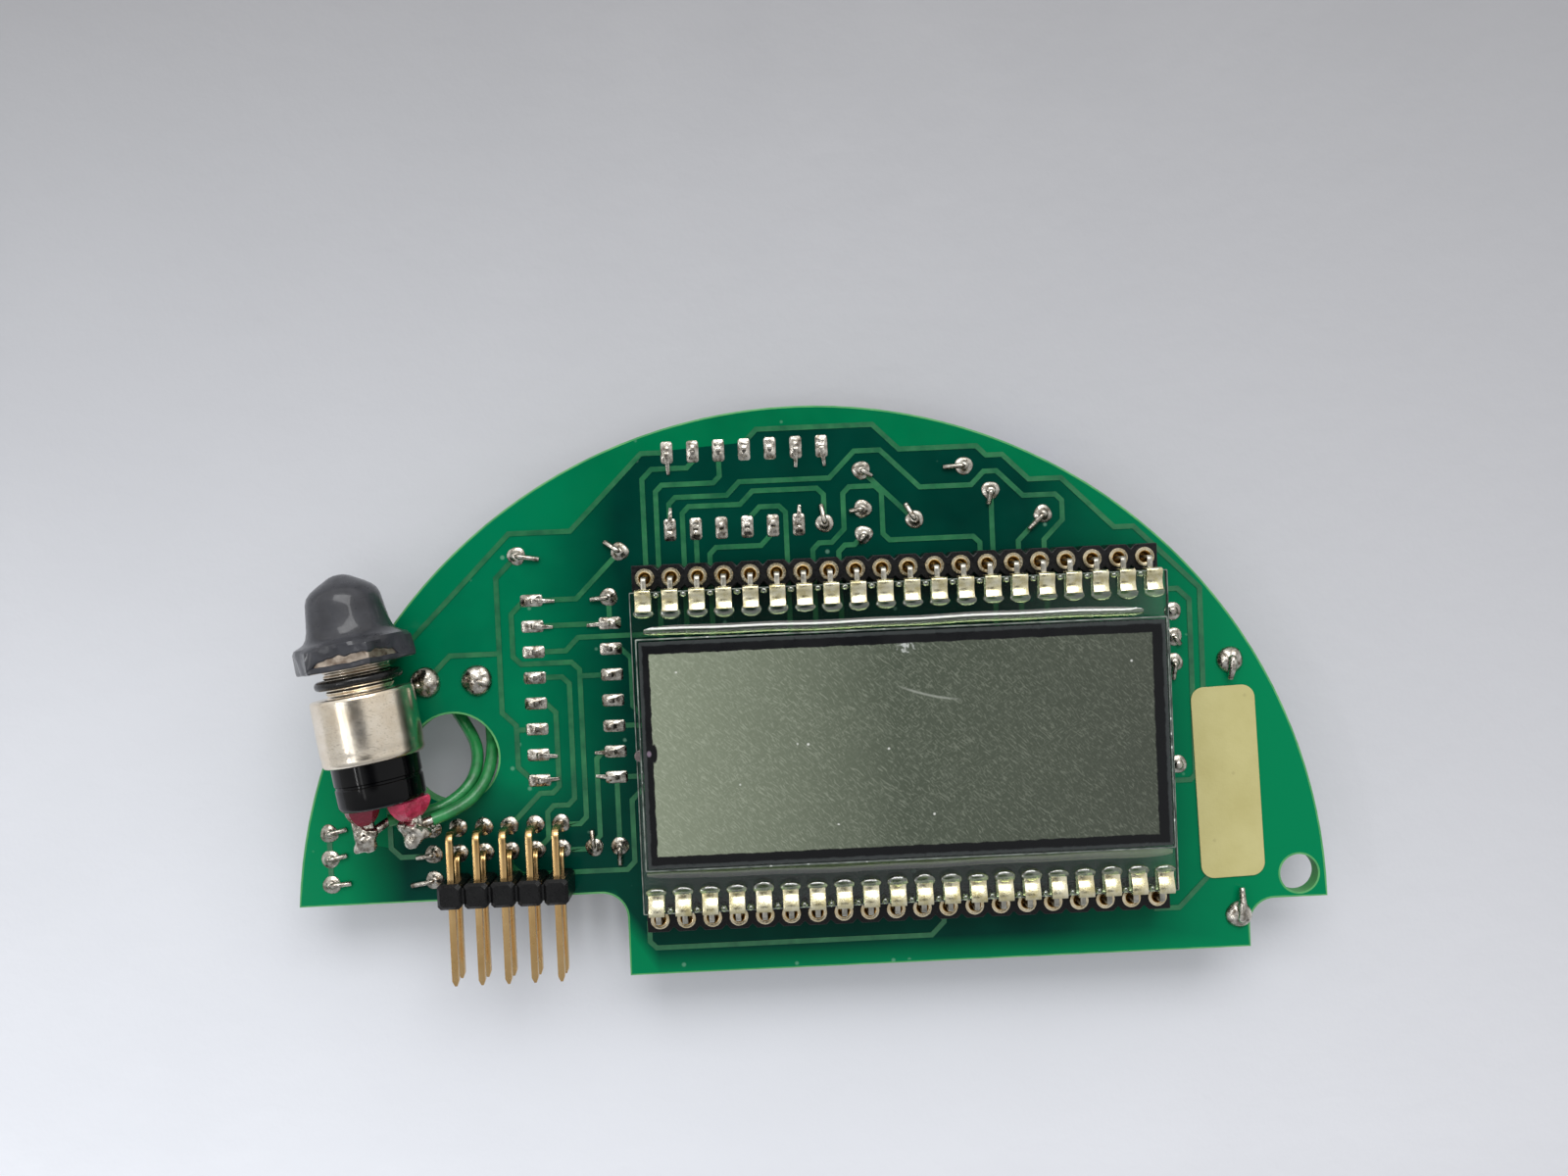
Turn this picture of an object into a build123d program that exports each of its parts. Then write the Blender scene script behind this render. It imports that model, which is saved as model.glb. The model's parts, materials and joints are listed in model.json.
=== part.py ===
"""Display circuit board with a plug-in liquid crystal display and a sealed push switch.

Millimetres.  +Z points out of the board's front face, which is at z = 0, and +Y points from
the straight edge to the round one.  Plan positions are measured from the centre of the round
edge; save() then moves each piece so that the origin is the mounting hole's centre on the
front face.  Parts that share the wiring layout are placed on its 0.635 mm grid.
"""
import os
from math import radians, sqrt, tan

from build123d import *

# ---- board blank -------------------------------------------------------------------------
BOARD_RADIUS = 51.05
BOARD_THICK = 1.6
LEFT_EDGE_Y = 3.75
BOTTOM_EDGE_Y = -4.53
RIGHT_EDGE_Y = 0.2
TAB_LEFT_X = -18.6
TAB_RIGHT_X = 43.2
ROUTER_RADIUS = 2.55
MOUNT_HOLE = (48.3, 2.55)
MOUNT_HOLE_DIA = 3.8
WINDOW = (-35.0, 17.86)
WINDOW_DIA = 8.8

# ---- wiring layout -----------------------------------------------------------------------
GRID = 0.635
GRID_ORIGIN = (-12.7, 47.0)
PITCH = 4
TRACK_WIDTH = 0.5
TRACK_HEIGHT = 0.07
PAD_LONG = 2.2
PAD_SHORT = 1.15
PAD_HEIGHT = 0.3
PAD_TAPER = 40
JOINT_RADIUS = 0.85
JOINT_TAPER = 31
JOINT_HEIGHT = 0.75
JOINT_SIDES = 10
WIRE_JOINT_RADIUS = 1.5
POWER_JOINT_RADIUS = 1.3
DOME_SIDES = 12
DOME_HEIGHT = 0.45
DOME_TAPER = 30
CROWN_HEIGHT = 0.25
CROWN_TAPER = 55

# ---- display -----------------------------------------------------------------------------
DISPLAY_COLUMNS = 20
DISPLAY_CENTRE = (9.0, 18.26)
COLUMN_PITCH = 2.54
SOCKET_ROWS_APART = 33.02
SOCKET_WIDTH = 2.54
SOCKET_STANDOFF = 0.3
SOCKET_BODY_HEIGHT = 2.8
SOCKET_NOTCH = 0.45
CONTACT_FLANGE_DIA = 1.83
CONTACT_FLANGE_HEIGHT = 0.25
CONTACT_BORE_DIA = 1.0
CONTACT_SIDES = 8
CONTACT_BORE_SIDES = 4
CONTACT_SLEEVE = 1.2
CONTACT_GAP = 0.02
CONTACT_DEEP = 2.4
REAR_GLASS = (50.8, 30.48, 1.1)
REAR_GLASS_Z = 5.1
FRONT_GLASS = (49.8, 21.8, 1.1)
SEAL_GAP = 0.1
SEAL_WIDTH = 1.0
SEAL_INSET = 0.3
FILL_PORT_WIDTH = 3.2
FILL_PLUG_RADIUS = 0.55
POLARISER = (49.2, 21.2, 0.2)
REFLECTOR = (49.0, 21.0, 0.3)
CLIP_WIDTH = 1.5
CLIP_THICK = 0.22
CLIP_REACH = 1.9
CLIP_GAP = 0.03
LEG_WIDTH = 0.5
LEG_THICK = 0.28
LEG_DEPTH = 2.0

# ---- right-angle pin header --------------------------------------------------------------
HEADER_COLUMNS = 5
HEADER_FIRST = -35
HEADER_ROW = -56.8
HEADER_PIN = 0.64
HEADER_PIN_GAP = 0.02
HEADER_BODY_DEPTH = 2.54
HEADER_BODY_Y = 5.27
HEADER_BODY_Z = (0.1, 5.08)
HEADER_NOTCH = 0.4
HEADER_PIN_END_Y = -3.6
HEADER_PIN_BELOW = 1.4
HEADER_LOW_Z = 1.27
HEADER_HIGH_Z = 3.81
HEADER_TIP = 0.18
HEADER_BEND = 0.3

# ---- label -------------------------------------------------------------------------------
LABEL = (6.35, 19.05, 0.12)
LABEL_CENTRE = (41.45, 12.05)
LABEL_TURN = 1.5
LABEL_CORNER = 1.3

# ---- push switch -------------------------------------------------------------------------
SWITCH_POS = (-42.24, 25.15)
SWITCH_TURN = 8.4
CAN_DIA = 9.6
CAN_LENGTH = 6.5
CAN_EDGE = 0.5
SWITCH_LIFT = 0.1
BUSH_DIA = 6.35
BUSH_LENGTH = 4.6
O_RING_DIA = 8.26
O_RING_SECTION = 0.9
O_RING_AT = 1.3
NUT_ACROSS_FLATS = 9.6
NUT_THICK = 1.7
NUT_AT = 2.6
BOOT_FLANGE_DIA = 11.2
BOOT_FLANGE_THICK = 0.9
BOOT_BASE_DIA = 7.8
BOOT_SHOULDER_DIA = 6.9
BOOT_SHOULDER_AT = 9.2
BOOT_TOP_AT = 11.4
PLUNGER_TOP_AT = 9.7
BOOT_WALL = 0.8
BOOT_SIDES = 24
PLUNGER_DIA = 3.2
PLUNGER_EDGE = 0.3
PLUNGER_GAP = 0.08
PLUNGER_TRAVEL = 1.6
PLUNGER_TAIL = 0.6
TOUCH_GAP = 0.3
REAR_BODY_DIA = 8.2
REAR_BODY_LENGTH = 4.25
REAR_BODY_EDGE = 0.4
TERMINAL_APART = 4.6
TERMINAL = (2.0, 0.6, 3.0)
BASE_LOBE_DIA = 3.5
BASE_LOBE_TAPER = 20
BASE_LOBE_SIDES = 12
BASE_LOBE_HEIGHT = 1.5
LUMP_RADIUS = 1.25
LUMP_HEIGHT = 2.0
LUMP_TAPER = 25
LUMP_SIDES = 8

# ---- wires -------------------------------------------------------------------------------
WIRE_DIA = 1.2
WIRE_SIDES = 8
LEFT_WIRE_ROUTE = [
    (-40.7, 12.6, 3.7), (-38.1, 12.9, 2.6), (-35.2, 13.6, 2.0), (-32.9, 15.6, 1.0),
    (-32.7, 18.3, -1.1), (-34.3, 20.8, -3.1), (-37.465, 25.41, -3.4), (-37.465, 25.41, -0.4)]
RIGHT_WIRE_ROUTE = [
    (-36.4, 12.6, 4.1), (-33.9, 13.3, 2.8), (-31.9, 15.2, 1.3), (-31.3, 17.6, -0.4),
    (-31.7, 20.2, -2.8), (-32.385, 25.41, -3.4), (-32.385, 25.41, -0.4)]
WIRE_HOLE_GAP = 0.15

# ---- parts on the rear face ----------------------------------------------------------------
DIP_STANDOFF = 0.5
DIP_ROWS_APART = 7.62
DIP_SHOULDER = 0.61
DIP_BODY_HEIGHT = 3.3
DIP_END = 2.0
DRIVER_SHOULDER = 0.72
DRIVER_END = 1.6
DRIVER_CENTRE = (7.69, 18.26)
DRIVER_PINS = 20
DRIVER_ROWS_APART = 15.24
DRIVER_BODY_HEIGHT = 3.9
DIP_DRAFT = 0.35
DIP_LEG_WIDTH = 1.1
DIP_LEG_THICK = 0.25
RESISTOR_BODY = (6.3, 2.3)
RESISTOR_LIFT = 0.15
CERAMIC_DIA = 3.6
CERAMIC_THICK = 2.0
CERAMIC_LIFT = 0.8
LEAD_SIZE = 0.5
ROD_SIDES = 16
REGULATOR_DIA = 4.8
REGULATOR_HEIGHT = 4.6
REGULATOR_LIFT = 1.5
REGULATOR_FLAT = 1.3
TRIMMER_BODY = (19.05, 4.83, 6.2)
TRIMMER_LIFT = 0.15
TRIMMER_SCREW_DIA = 2.2
TRIMMER_SCREW_OUT = 1.3
TRIMMER_SCREW_DEEP = 2.0
TRIMMER_SCREW_GAP = 0.05
TRIMMER_SCREW_SLOT = (0.5, 0.6)
FILTER_BODY_DIA = 6.0
FILTER_BODY_LENGTH = 17.0
FILTER_LEAD_DIA = 0.8
FILTER_LIFT = 0.1
FILTER_CRIMP = 0.35
FILTER_CRIMP_AT = 2.0
FILTER_SIDES = 24

REAR_Z = -BOARD_THICK


def grid(column, row):
    """Plan position of a point of the wiring layout."""
    return GRID_ORIGIN[0] + column * GRID, GRID_ORIGIN[1] + row * GRID


# ---- where the leads are -----------------------------------------------------------------
DIP14_TOP = [grid(k * PITCH, 0) for k in range(7)]
DIP14_LOW = [(x, y - DIP_ROWS_APART) for x, y in DIP14_TOP]
DIP16_LEFT = [grid(-22, -22 - k * PITCH) for k in range(8)]
DIP16_RIGHT = [(x + DIP_ROWS_APART, y) for x, y in DIP16_LEFT]
HEADER_BACK = [grid(HEADER_FIRST + k * PITCH, HEADER_ROW) for k in range(HEADER_COLUMNS)]
HEADER_FRONT = [grid(HEADER_FIRST + k * PITCH, HEADER_ROW - PITCH) for k in range(HEADER_COLUMNS)]
COLUMNS = [(k - (DISPLAY_COLUMNS - 1) / 2) * COLUMN_PITCH for k in range(DISPLAY_COLUMNS)]
SOCKETS = [(DISPLAY_CENTRE[0] + x, DISPLAY_CENTRE[1] + side * SOCKET_ROWS_APART / 2)
           for side in (1, -1) for x in COLUMNS]
RESISTORS = [(grid(-24, -15), grid(-8, -15)), (grid(30, -4), grid(46, -4)),
             (grid(-55, -56.8), grid(-39, -56.8)), (grid(-55, -60.8), grid(-39, -60.8)),
             (grid(-55, -64.8), grid(-39, -64.8))]
CERAMICS = [(grid(30, -10), grid(30, -14)), (grid(-14, -60.8), grid(-10, -60.8)),
            (grid(73.6, -52), grid(77.6, -52))]
REGULATOR_PINS = [grid(77.6, -28), grid(77.6, -32), grid(77.6, -36)]
TRIMMER_PINS = [grid(38, -12), grid(50, -8), grid(58, -12)]
FILTER_LEADS = [grid(86.3, -36), grid(86.3, -76)]
WIRE_PADS = [grid(-39, -34), grid(-31, -34)]

# Copper routes in steps of the layout grid, each from pad to pad or to where it runs on under
# a socket strip or the display.
TRACKS = [
    [(0, 0), (-4, 0), (-15.5, -11.5), (-25, -11.5), (-45.5, -32), (-45.5, -59.5), (-44, -61),
     (-39, -61)],
    [(4, 0), (4, -1.5), (3, -2.5), (-2.5, -2.5), (-4, -4), (-4, -19.3)],
    [(8, 0), (8, -4), (7, -5), (-1, -5), (-2, -6), (-2, -33.2)],
    [(0, -12), (0, -8), (1, -7), (9, -7), (11, -5), (25, -5), (29, -1), (33, -1), (39, -7),
     (47, -7), (49, -5), (51, -5), (55, -9), (60, -9), (61, -10), (61, -13), (58, -16), (58, -33.2)],
    [(24, -12), (24, -7.5), (23, -6.5), (13, -6.5), (11, -8.5), (3, -8.5), (2, -9.5), (2, -33.2)],
    [(4, -12), (4, -19)],
    [(12, -12), (12, -11), (14, -9), (17, -9), (18, -10), (18, -33.2)],
    [(16, -12), (16, -13), (14, -15), (7, -15), (6, -16), (6, -33.2)],
    [(12, 0), (12, 1), (14, 3), (32, 3), (36, -1), (48, -1), (49.5, -2.5), (52, -2.5), (56, -6.5),
     (61, -6.5), (69, -14.5), (72, -14.5), (82, -24.5), (82, -69.5), (77, -74.5), (73, -74.5)],
    [(74, -24.5), (78.5, -24.5), (80.3, -26.3), (80.3, -53.7), (79.5, -54.5), (74, -54.5)],
    [(30, -4), (38, -12)],
    [(22, -33.2), (22, -16), (23, -15), (25, -15), (27, -13), (27, -7.5), (28, -6.5), (32, -6.5),
     (33, -7.5), (33, -14), (34, -15), (47, -15), (48, -16), (48, -19)],
    [(30, -14), (28.5, -15.5), (27, -15.5), (26, -16.5), (26, -33.2)],
    [(50, -8), (50, -33.2)],
    [(58, -12), (54, -16), (54, -33.2)],
    [(-8, -15), (-15, -22), (-22, -22)],
    [(-24, -15), (-27.3, -18.3), (-27.3, -39.2), (-25.2, -41.3), (-25.2, -47.8), (-23, -50),
     (-22, -50)],
    [(-25.2, -42), (-22, -42)],
    [(-27.3, -30), (-35, -30), (-39, -34)],
    [(-22, -22), (-23.2, -22), (-25.2, -24), (-25.2, -30.6), (-24, -31.8), (-16.2, -31.8),
     (-15, -33), (-15, -56), (-16, -57), (-19, -57)],
    [(-15, -34), (-10, -34)],
    [(-22, -26), (-10, -26)],
    [(-10, -22), (-10, -26)],
    [(-22, -30), (-17, -30), (-15, -28), (0, -28)],
    [(-22, -34), (-17.8, -34), (-16.7, -35.1), (-16.7, -53), (-17.7, -54), (-20, -54), (-21, -55),
     (-21, -59), (-23, -61)],
    [(-22, -38), (-20.5, -38), (-19, -39.5), (-19, -51), (-20, -52), (-22, -52), (-27, -57)],
    [(-10, -30), (-8.5, -30), (-7, -31.5), (-7, -39), (-4, -42)],
    [(-10, -42), (-2, -42)],
    [(-10, -46), (-12, -46), (-13, -47), (-13, -59), (-14, -60), (-14, -61)],
    [(-10, -50), (-10, -61)],
    [(-10, -50), (-4, -50)],
    [(-27, -61), (-27, -63), (-25.5, -64.5), (-9, -64.5), (-7.8, -63.3), (-7.8, -53.7), (-4, -50)],
    [(-19, -61), (-14, -61)],
    [(-4, -71), (-6, -73), (-6, -76), (-5, -77), (38, -77), (40, -75), (40, -71)],
    [(-55, -57), (-55, -65)],
]


def save(name, *solids):
    """Write one node, with its solids moved to the mounting hole's frame."""
    shift = Pos(-MOUNT_HOLE[0], -MOUNT_HOLE[1], 0)
    moved = [solid for shape in solids for solid in (shift * shape).solids()]
    shape = moved[0] if len(moved) == 1 else Compound(moved)
    shape.label = name
    export_step(shape, "parts/" + name + ".step")


def block(centre, size, low_z):
    """A box of the given plan centre and size that stands on low_z."""
    return Pos(centre[0], centre[1], low_z + size[2] / 2) * Box(*size)


def turned(*profile):
    """A solid turned about Z from a closed profile of (radius, height) points."""
    return revolve(make_face(Plane.XZ * Polyline(*profile, close=True)), Axis.Z)


def faceted(sides, *profile):
    """A solid about Z whose rings of flats follow (radius, height) points, lowest first."""
    rings = [Pos(0, 0, height) * RegularPolygon(radius, sides, major_radius=False)
             for radius, height in profile]
    return loft(rings, ruled=True)


def rod(radius, length, sides):
    """A flat-sided rod about Z, centred on the origin."""
    return Pos(0, 0, -length / 2) * extrude(RegularPolygon(radius, sides), length)


def plate(outline, low, high):
    """An outline in the XY plane made a plate from one height to another."""
    return extrude(Pos(0, 0, low) * outline, high - low)


def side_plate(profile, x, width):
    """A closed (y, z) profile made a strip of the given width, centred on x."""
    face = make_face(Plane.YZ * Polyline(*profile, close=True))
    return Pos(x, 0, 0) * extrude(face, width / 2, both=True)


# ---- board -------------------------------------------------------------------------------
def board_outline():
    """The round blank with its two stepped corners, which the router leaves rounded."""
    far = 2 * BOARD_RADIUS
    blank = Circle(BOARD_RADIUS)
    blank -= Pos(0, BOTTOM_EDGE_Y) * Rectangle(far, far, align=(Align.CENTER, Align.MAX))
    blank -= Pos(TAB_LEFT_X, LEFT_EDGE_Y) * Rectangle(far, far, align=(Align.MAX, Align.MAX))
    blank -= Pos(TAB_RIGHT_X, RIGHT_EDGE_Y) * Rectangle(far, far, align=(Align.MIN, Align.MAX))
    steps = [(TAB_LEFT_X, LEFT_EDGE_Y), (TAB_RIGHT_X, RIGHT_EDGE_Y)]
    inner = [corner for corner in blank.vertices()
             if min(sqrt((corner.X - x) ** 2 + (corner.Y - y) ** 2) for x, y in steps) < 0.01]
    return fillet(inner, ROUTER_RADIUS)


def make_board():
    outline = board_outline()
    outline -= Pos(*MOUNT_HOLE) * Circle(MOUNT_HOLE_DIA / 2)
    outline -= Pos(*WINDOW) * Circle(WINDOW_DIA / 2)
    for route in (LEFT_WIRE_ROUTE, RIGHT_WIRE_ROUTE):
        outline -= Pos(*route[-1][:2]) * Circle(WIRE_DIA / 2 + WIRE_HOLE_GAP)
    slot = HEADER_PIN + 2 * HEADER_PIN_GAP
    for spot in HEADER_BACK + HEADER_FRONT:
        outline -= Pos(*spot) * Rectangle(slot, slot)
    return plate(outline, REAR_Z, 0)


ROUND_JOINTS = ([DIP14_LOW[-1], DIP16_RIGHT[0]] + [spot for pair in RESISTORS for spot in pair]
                + [spot for pair in CERAMICS for spot in pair] + REGULATOR_PINS + TRIMMER_PINS)
TALL_JOINTS = DIP14_TOP + DIP14_LOW[:-1]
WIDE_JOINTS = DIP16_LEFT + DIP16_RIGHT[1:]


# ---- copper and solder ---------------------------------------------------------------------
def strip(points, width):
    """The face of a track of constant width, with mitred corners."""
    route = [Vector(*point) for point in points]
    steps = [(b - a).normalized() for a, b in zip(route, route[1:])]
    across = [Vector(-step.Y, step.X) for step in steps]
    left = []
    right = []
    for k, spot in enumerate(route):
        before = across[max(k - 1, 0)]
        after = across[min(k, len(across) - 1)]
        mitre = (before + after).normalized()
        offset = mitre * (width / 2 / mitre.dot(after))
        left.append(spot + offset)
        right.append(spot - offset)
    return make_face(Polyline(*left, *reversed(right), close=True))


def make_tracks():
    """All copper routes as one raised sheet, cut back where joints and contacts stand."""
    copper = Sketch() + [strip([grid(*spot) for spot in route], TRACK_WIDTH) for route in TRACKS]
    round_foot = RegularPolygon(JOINT_RADIUS, JOINT_SIDES)
    copper -= [Pos(*spot) * round_foot for spot in ROUND_JOINTS]
    copper -= [Pos(*spot) * Rectangle(PAD_SHORT, PAD_LONG) for spot in TALL_JOINTS]
    copper -= [Pos(*spot) * Rectangle(PAD_LONG, PAD_SHORT) for spot in WIDE_JOINTS]
    copper -= [Pos(*spot) * Rectangle(CONTACT_SLEEVE, CONTACT_SLEEVE) for spot in SOCKETS]
    copper -= [Pos(*spot) * Rectangle(HEADER_PIN, HEADER_PIN) for spot in HEADER_BACK + HEADER_FRONT]
    copper -= [Pos(*spot) * Circle(WIRE_JOINT_RADIUS) for spot in WIRE_PADS]
    return plate(copper, 0, TRACK_HEIGHT)


def make_pad_joints():
    """Low solder joints on the two smaller circuits' oblong pads, narrower at the top."""
    tall = extrude(Rectangle(PAD_SHORT, PAD_LONG), PAD_HEIGHT, taper=PAD_TAPER)
    wide = extrude(Rectangle(PAD_LONG, PAD_SHORT), PAD_HEIGHT, taper=PAD_TAPER)
    return [Pos(*spot) * tall for spot in TALL_JOINTS] + [Pos(*spot) * wide for spot in WIDE_JOINTS]


def make_round_joints():
    joint = extrude(RegularPolygon(JOINT_RADIUS, JOINT_SIDES), JOINT_HEIGHT, taper=JOINT_TAPER)
    return [Pos(*spot) * joint for spot in ROUND_JOINTS]


def make_dome(radius):
    """A full solder dome."""
    low = extrude(RegularPolygon(radius, DOME_SIDES), radius * DOME_HEIGHT, taper=DOME_TAPER)
    top = extrude(low.faces().sort_by(Axis.Z)[-1], radius * CROWN_HEIGHT, taper=CROWN_TAPER)
    return low + top


# ---- display -----------------------------------------------------------------------------
DISPLAY = Pos(*DISPLAY_CENTRE)
REAR_GLASS_TOP = REAR_GLASS_Z + REAR_GLASS[2]
FRONT_GLASS_Z = REAR_GLASS_TOP + SEAL_GAP
FRONT_GLASS_TOP = FRONT_GLASS_Z + FRONT_GLASS[2]
CONTACT_TOP = SOCKET_STANDOFF + SOCKET_BODY_HEIGHT + CONTACT_FLANGE_HEIGHT


def make_seal():
    """The cell's glue frame between the glasses, open at the fill port on the left."""
    length = FRONT_GLASS[0] - 2 * SEAL_INSET
    width = FRONT_GLASS[1] - 2 * SEAL_INSET
    frame = Rectangle(length, width) - Rectangle(length - 2 * SEAL_WIDTH, width - 2 * SEAL_WIDTH)
    frame -= Pos(-length / 2, 0) * Rectangle(3 * SEAL_WIDTH, FILL_PORT_WIDTH)
    return DISPLAY * plate(frame, REAR_GLASS_TOP, FRONT_GLASS_Z)


def make_fill_plug():
    """The bead of sealant at the fill port, flush with the rear glass."""
    bead = Cylinder(FILL_PLUG_RADIUS, FRONT_GLASS[2] + SEAL_GAP,
                    align=(Align.CENTER, Align.CENTER, Align.MIN))
    bead = Pos(-FRONT_GLASS[0] / 2, 0, REAR_GLASS_TOP) * bead
    return DISPLAY * (bead - block((0, 0), (FRONT_GLASS[0], FRONT_GLASS[1], 9), REAR_GLASS_TOP))


def make_display_pin():
    """One clip-on pin of the upper ledge: a C over the glass edge and a leg down to its socket."""
    edge = REAR_GLASS[1] / 2
    inner = edge - CLIP_REACH
    wall = edge + CLIP_GAP
    outer = wall + CLIP_THICK
    low = REAR_GLASS_Z - CLIP_GAP
    high = REAR_GLASS_TOP + CLIP_GAP
    clip = side_plate([(inner, high), (wall, high), (wall, low), (inner, low), (inner, low - CLIP_THICK),
                       (outer, low - CLIP_THICK), (outer, high + CLIP_THICK),
                       (inner, high + CLIP_THICK)], 0, CLIP_WIDTH)
    row = SOCKET_ROWS_APART / 2
    end = CONTACT_TOP - LEG_DEPTH
    leg = side_plate([(wall, low), (wall, low - LEG_THICK), (row - LEG_THICK / 2, low - LEG_THICK),
                      (row - LEG_THICK / 2, end), (row + LEG_THICK / 2, end),
                      (row + LEG_THICK / 2, low)], 0, LEG_WIDTH)
    return clip + leg


def make_socket_strip():
    """The upper strip: a bar notched between its cells, with a square well for each contact."""
    width = SOCKET_WIDTH / 2
    end = DISPLAY_COLUMNS * COLUMN_PITCH / 2
    notches = [k * COLUMN_PITCH - end for k in range(1, DISPLAY_COLUMNS)]
    near = [(x + dx, width - abs(abs(dx) - SOCKET_NOTCH)) for x in notches
            for dx in (-SOCKET_NOTCH, 0, SOCKET_NOTCH)]
    edge = [(-end, width)] + near + [(end, width)]
    outline = make_face(Polyline(*edge, *[(-x, -y) for x, y in edge], close=True))
    well = CONTACT_SLEEVE + 2 * CONTACT_GAP
    outline -= [Pos(x, 0) * Rectangle(well, well) for x in COLUMNS]
    strip_body = plate(outline, SOCKET_STANDOFF, SOCKET_STANDOFF + SOCKET_BODY_HEIGHT)
    return Pos(0, SOCKET_ROWS_APART / 2, 0) * strip_body


def make_contact():
    """One contact of the upper strip: a flanged sleeve that stands on the board."""
    flange_z = SOCKET_STANDOFF + SOCKET_BODY_HEIGHT
    flange = plate(RegularPolygon(CONTACT_FLANGE_DIA / 2, CONTACT_SIDES), flange_z, CONTACT_TOP)
    sleeve = plate(Rectangle(CONTACT_SLEEVE, CONTACT_SLEEVE), 0, flange_z)
    bore = RegularPolygon(CONTACT_BORE_DIA / 2, CONTACT_BORE_SIDES)
    contact = flange + sleeve - plate(bore, CONTACT_TOP - CONTACT_DEEP, CONTACT_TOP)
    return Pos(0, SOCKET_ROWS_APART / 2, 0) * contact


def both_rows(save_name, item, columns):
    """Save the same item along the upper row and, turned half round, along the lower row."""
    for side, turn in (("upper_", 0), ("lower_", 180)):
        save(side + save_name, *[DISPLAY * Rot(0, 0, turn) * Pos(x, 0, 0) * item for x in columns])


# ---- right-angle pin header --------------------------------------------------------------
def make_header_pin(spot, height):
    """A square pin that stands in the board at spot and bends over to the board's edge."""
    half = HEADER_PIN / 2
    x, y = spot
    low = REAR_Z - HEADER_PIN_BELOW
    top = height + half
    return side_plate([(y - half, low), (y + half, low), (y + half, top - HEADER_BEND),
                       (y + half - HEADER_BEND, top), (HEADER_PIN_END_Y + HEADER_TIP, top),
                       (HEADER_PIN_END_Y, top - HEADER_TIP),
                       (HEADER_PIN_END_Y, top - HEADER_PIN + HEADER_TIP),
                       (HEADER_PIN_END_Y + HEADER_TIP, top - HEADER_PIN),
                       (y - half, top - HEADER_PIN)], x, HEADER_PIN)


def make_header_housing():
    """The header's block, notched between its cells, with a square hole for each pin."""
    xs = [spot[0] for spot in HEADER_BACK]
    pitch = xs[1] - xs[0]
    low, high = HEADER_BODY_Z
    centre = (sum(xs) / len(xs), HEADER_BODY_Y)
    body = block(centre, (len(xs) * pitch, HEADER_BODY_DEPTH, high - low), low)
    for x in xs[:-1]:
        notch = Pos(x + pitch / 2, 0, 0) * Rectangle(HEADER_NOTCH * 1.4, HEADER_NOTCH * 1.4, rotation=45)
        for y in (HEADER_BODY_Y - HEADER_BODY_DEPTH / 2, HEADER_BODY_Y + HEADER_BODY_DEPTH / 2):
            body -= plate(Pos(0, y) * notch, low, high)
    hole = HEADER_PIN + 2 * HEADER_PIN_GAP
    for height in (HEADER_LOW_Z, HEADER_HIGH_Z):
        for x in xs:
            body -= block((x, HEADER_BODY_Y), (hole, 2 * HEADER_BODY_DEPTH, hole), height - hole / 2)
    return body


# ---- push switch -------------------------------------------------------------------------
SWITCH = Pos(*SWITCH_POS, CAN_DIA / 2 + SWITCH_LIFT) * Rot(0, 0, SWITCH_TURN) * Rot(-90, 0, 0)
REAR_END = -CAN_LENGTH - REAR_BODY_LENGTH
WELL_RADIUS = PLUNGER_DIA / 2 + TOUCH_GAP + 0.05
WELL_DEPTH = PLUNGER_TAIL + PLUNGER_TRAVEL + TOUCH_GAP


def make_boot():
    """The rubber boot: a flange over the nut and a hollow dome over the plunger."""
    flange = NUT_AT + NUT_THICK
    base = BOOT_BASE_DIA / 2
    shoulder = BOOT_SHOULDER_DIA / 2
    crown = BOOT_TOP_AT - BOOT_SHOULDER_AT
    flat = flange + BOOT_FLANGE_THICK
    skin = faceted(BOOT_SIDES, (BOOT_FLANGE_DIA / 2, flange), (BOOT_FLANGE_DIA / 2, flat),
                   (base + 0.2, flat + 0.2), (base - 0.2, flat + 1.2), (shoulder, BOOT_SHOULDER_AT),
                   (shoulder * 0.86, BOOT_SHOULDER_AT + crown * 0.55),
                   (shoulder * 0.5, BOOT_SHOULDER_AT + crown * 0.88), (shoulder * 0.1, BOOT_TOP_AT))
    hollow = faceted(BOOT_SIDES, (BUSH_DIA / 2, flange), (BUSH_DIA / 2, flat),
                     (shoulder - BOOT_WALL, BOOT_SHOULDER_AT + 0.2),
                     (shoulder * 0.5, BOOT_SHOULDER_AT + crown * 0.88 - BOOT_WALL),
                     (shoulder * 0.1, BOOT_TOP_AT - BOOT_WALL))
    floor = block(SWITCH_POS, (40, 40, 10), -10 + SWITCH_LIFT)
    return SWITCH * (skin - hollow) - floor


def make_can():
    """The metal can, its rear rim rolled over, with a well for the plunger's tail."""
    radius = CAN_DIA / 2
    return SWITCH * turned((WELL_RADIUS, 0), (radius, 0), (radius, CAN_EDGE - CAN_LENGTH),
                           (radius - CAN_EDGE, -CAN_LENGTH), (0, -CAN_LENGTH), (0, -WELL_DEPTH),
                           (WELL_RADIUS, -WELL_DEPTH))


def make_bushing():
    """The tube that the plunger slides in, which would pass through a panel."""
    bore = PLUNGER_DIA / 2 + PLUNGER_GAP
    return SWITCH * turned((bore, 0), (BUSH_DIA / 2, 0), (BUSH_DIA / 2, BUSH_LENGTH), (bore, BUSH_LENGTH))


def make_o_ring():
    section = Pos(O_RING_DIA / 2 - O_RING_SECTION / 2, O_RING_AT) * RegularPolygon(O_RING_SECTION / 2, 6)
    return SWITCH * revolve(Plane.XZ * section, Axis.Z)


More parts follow.
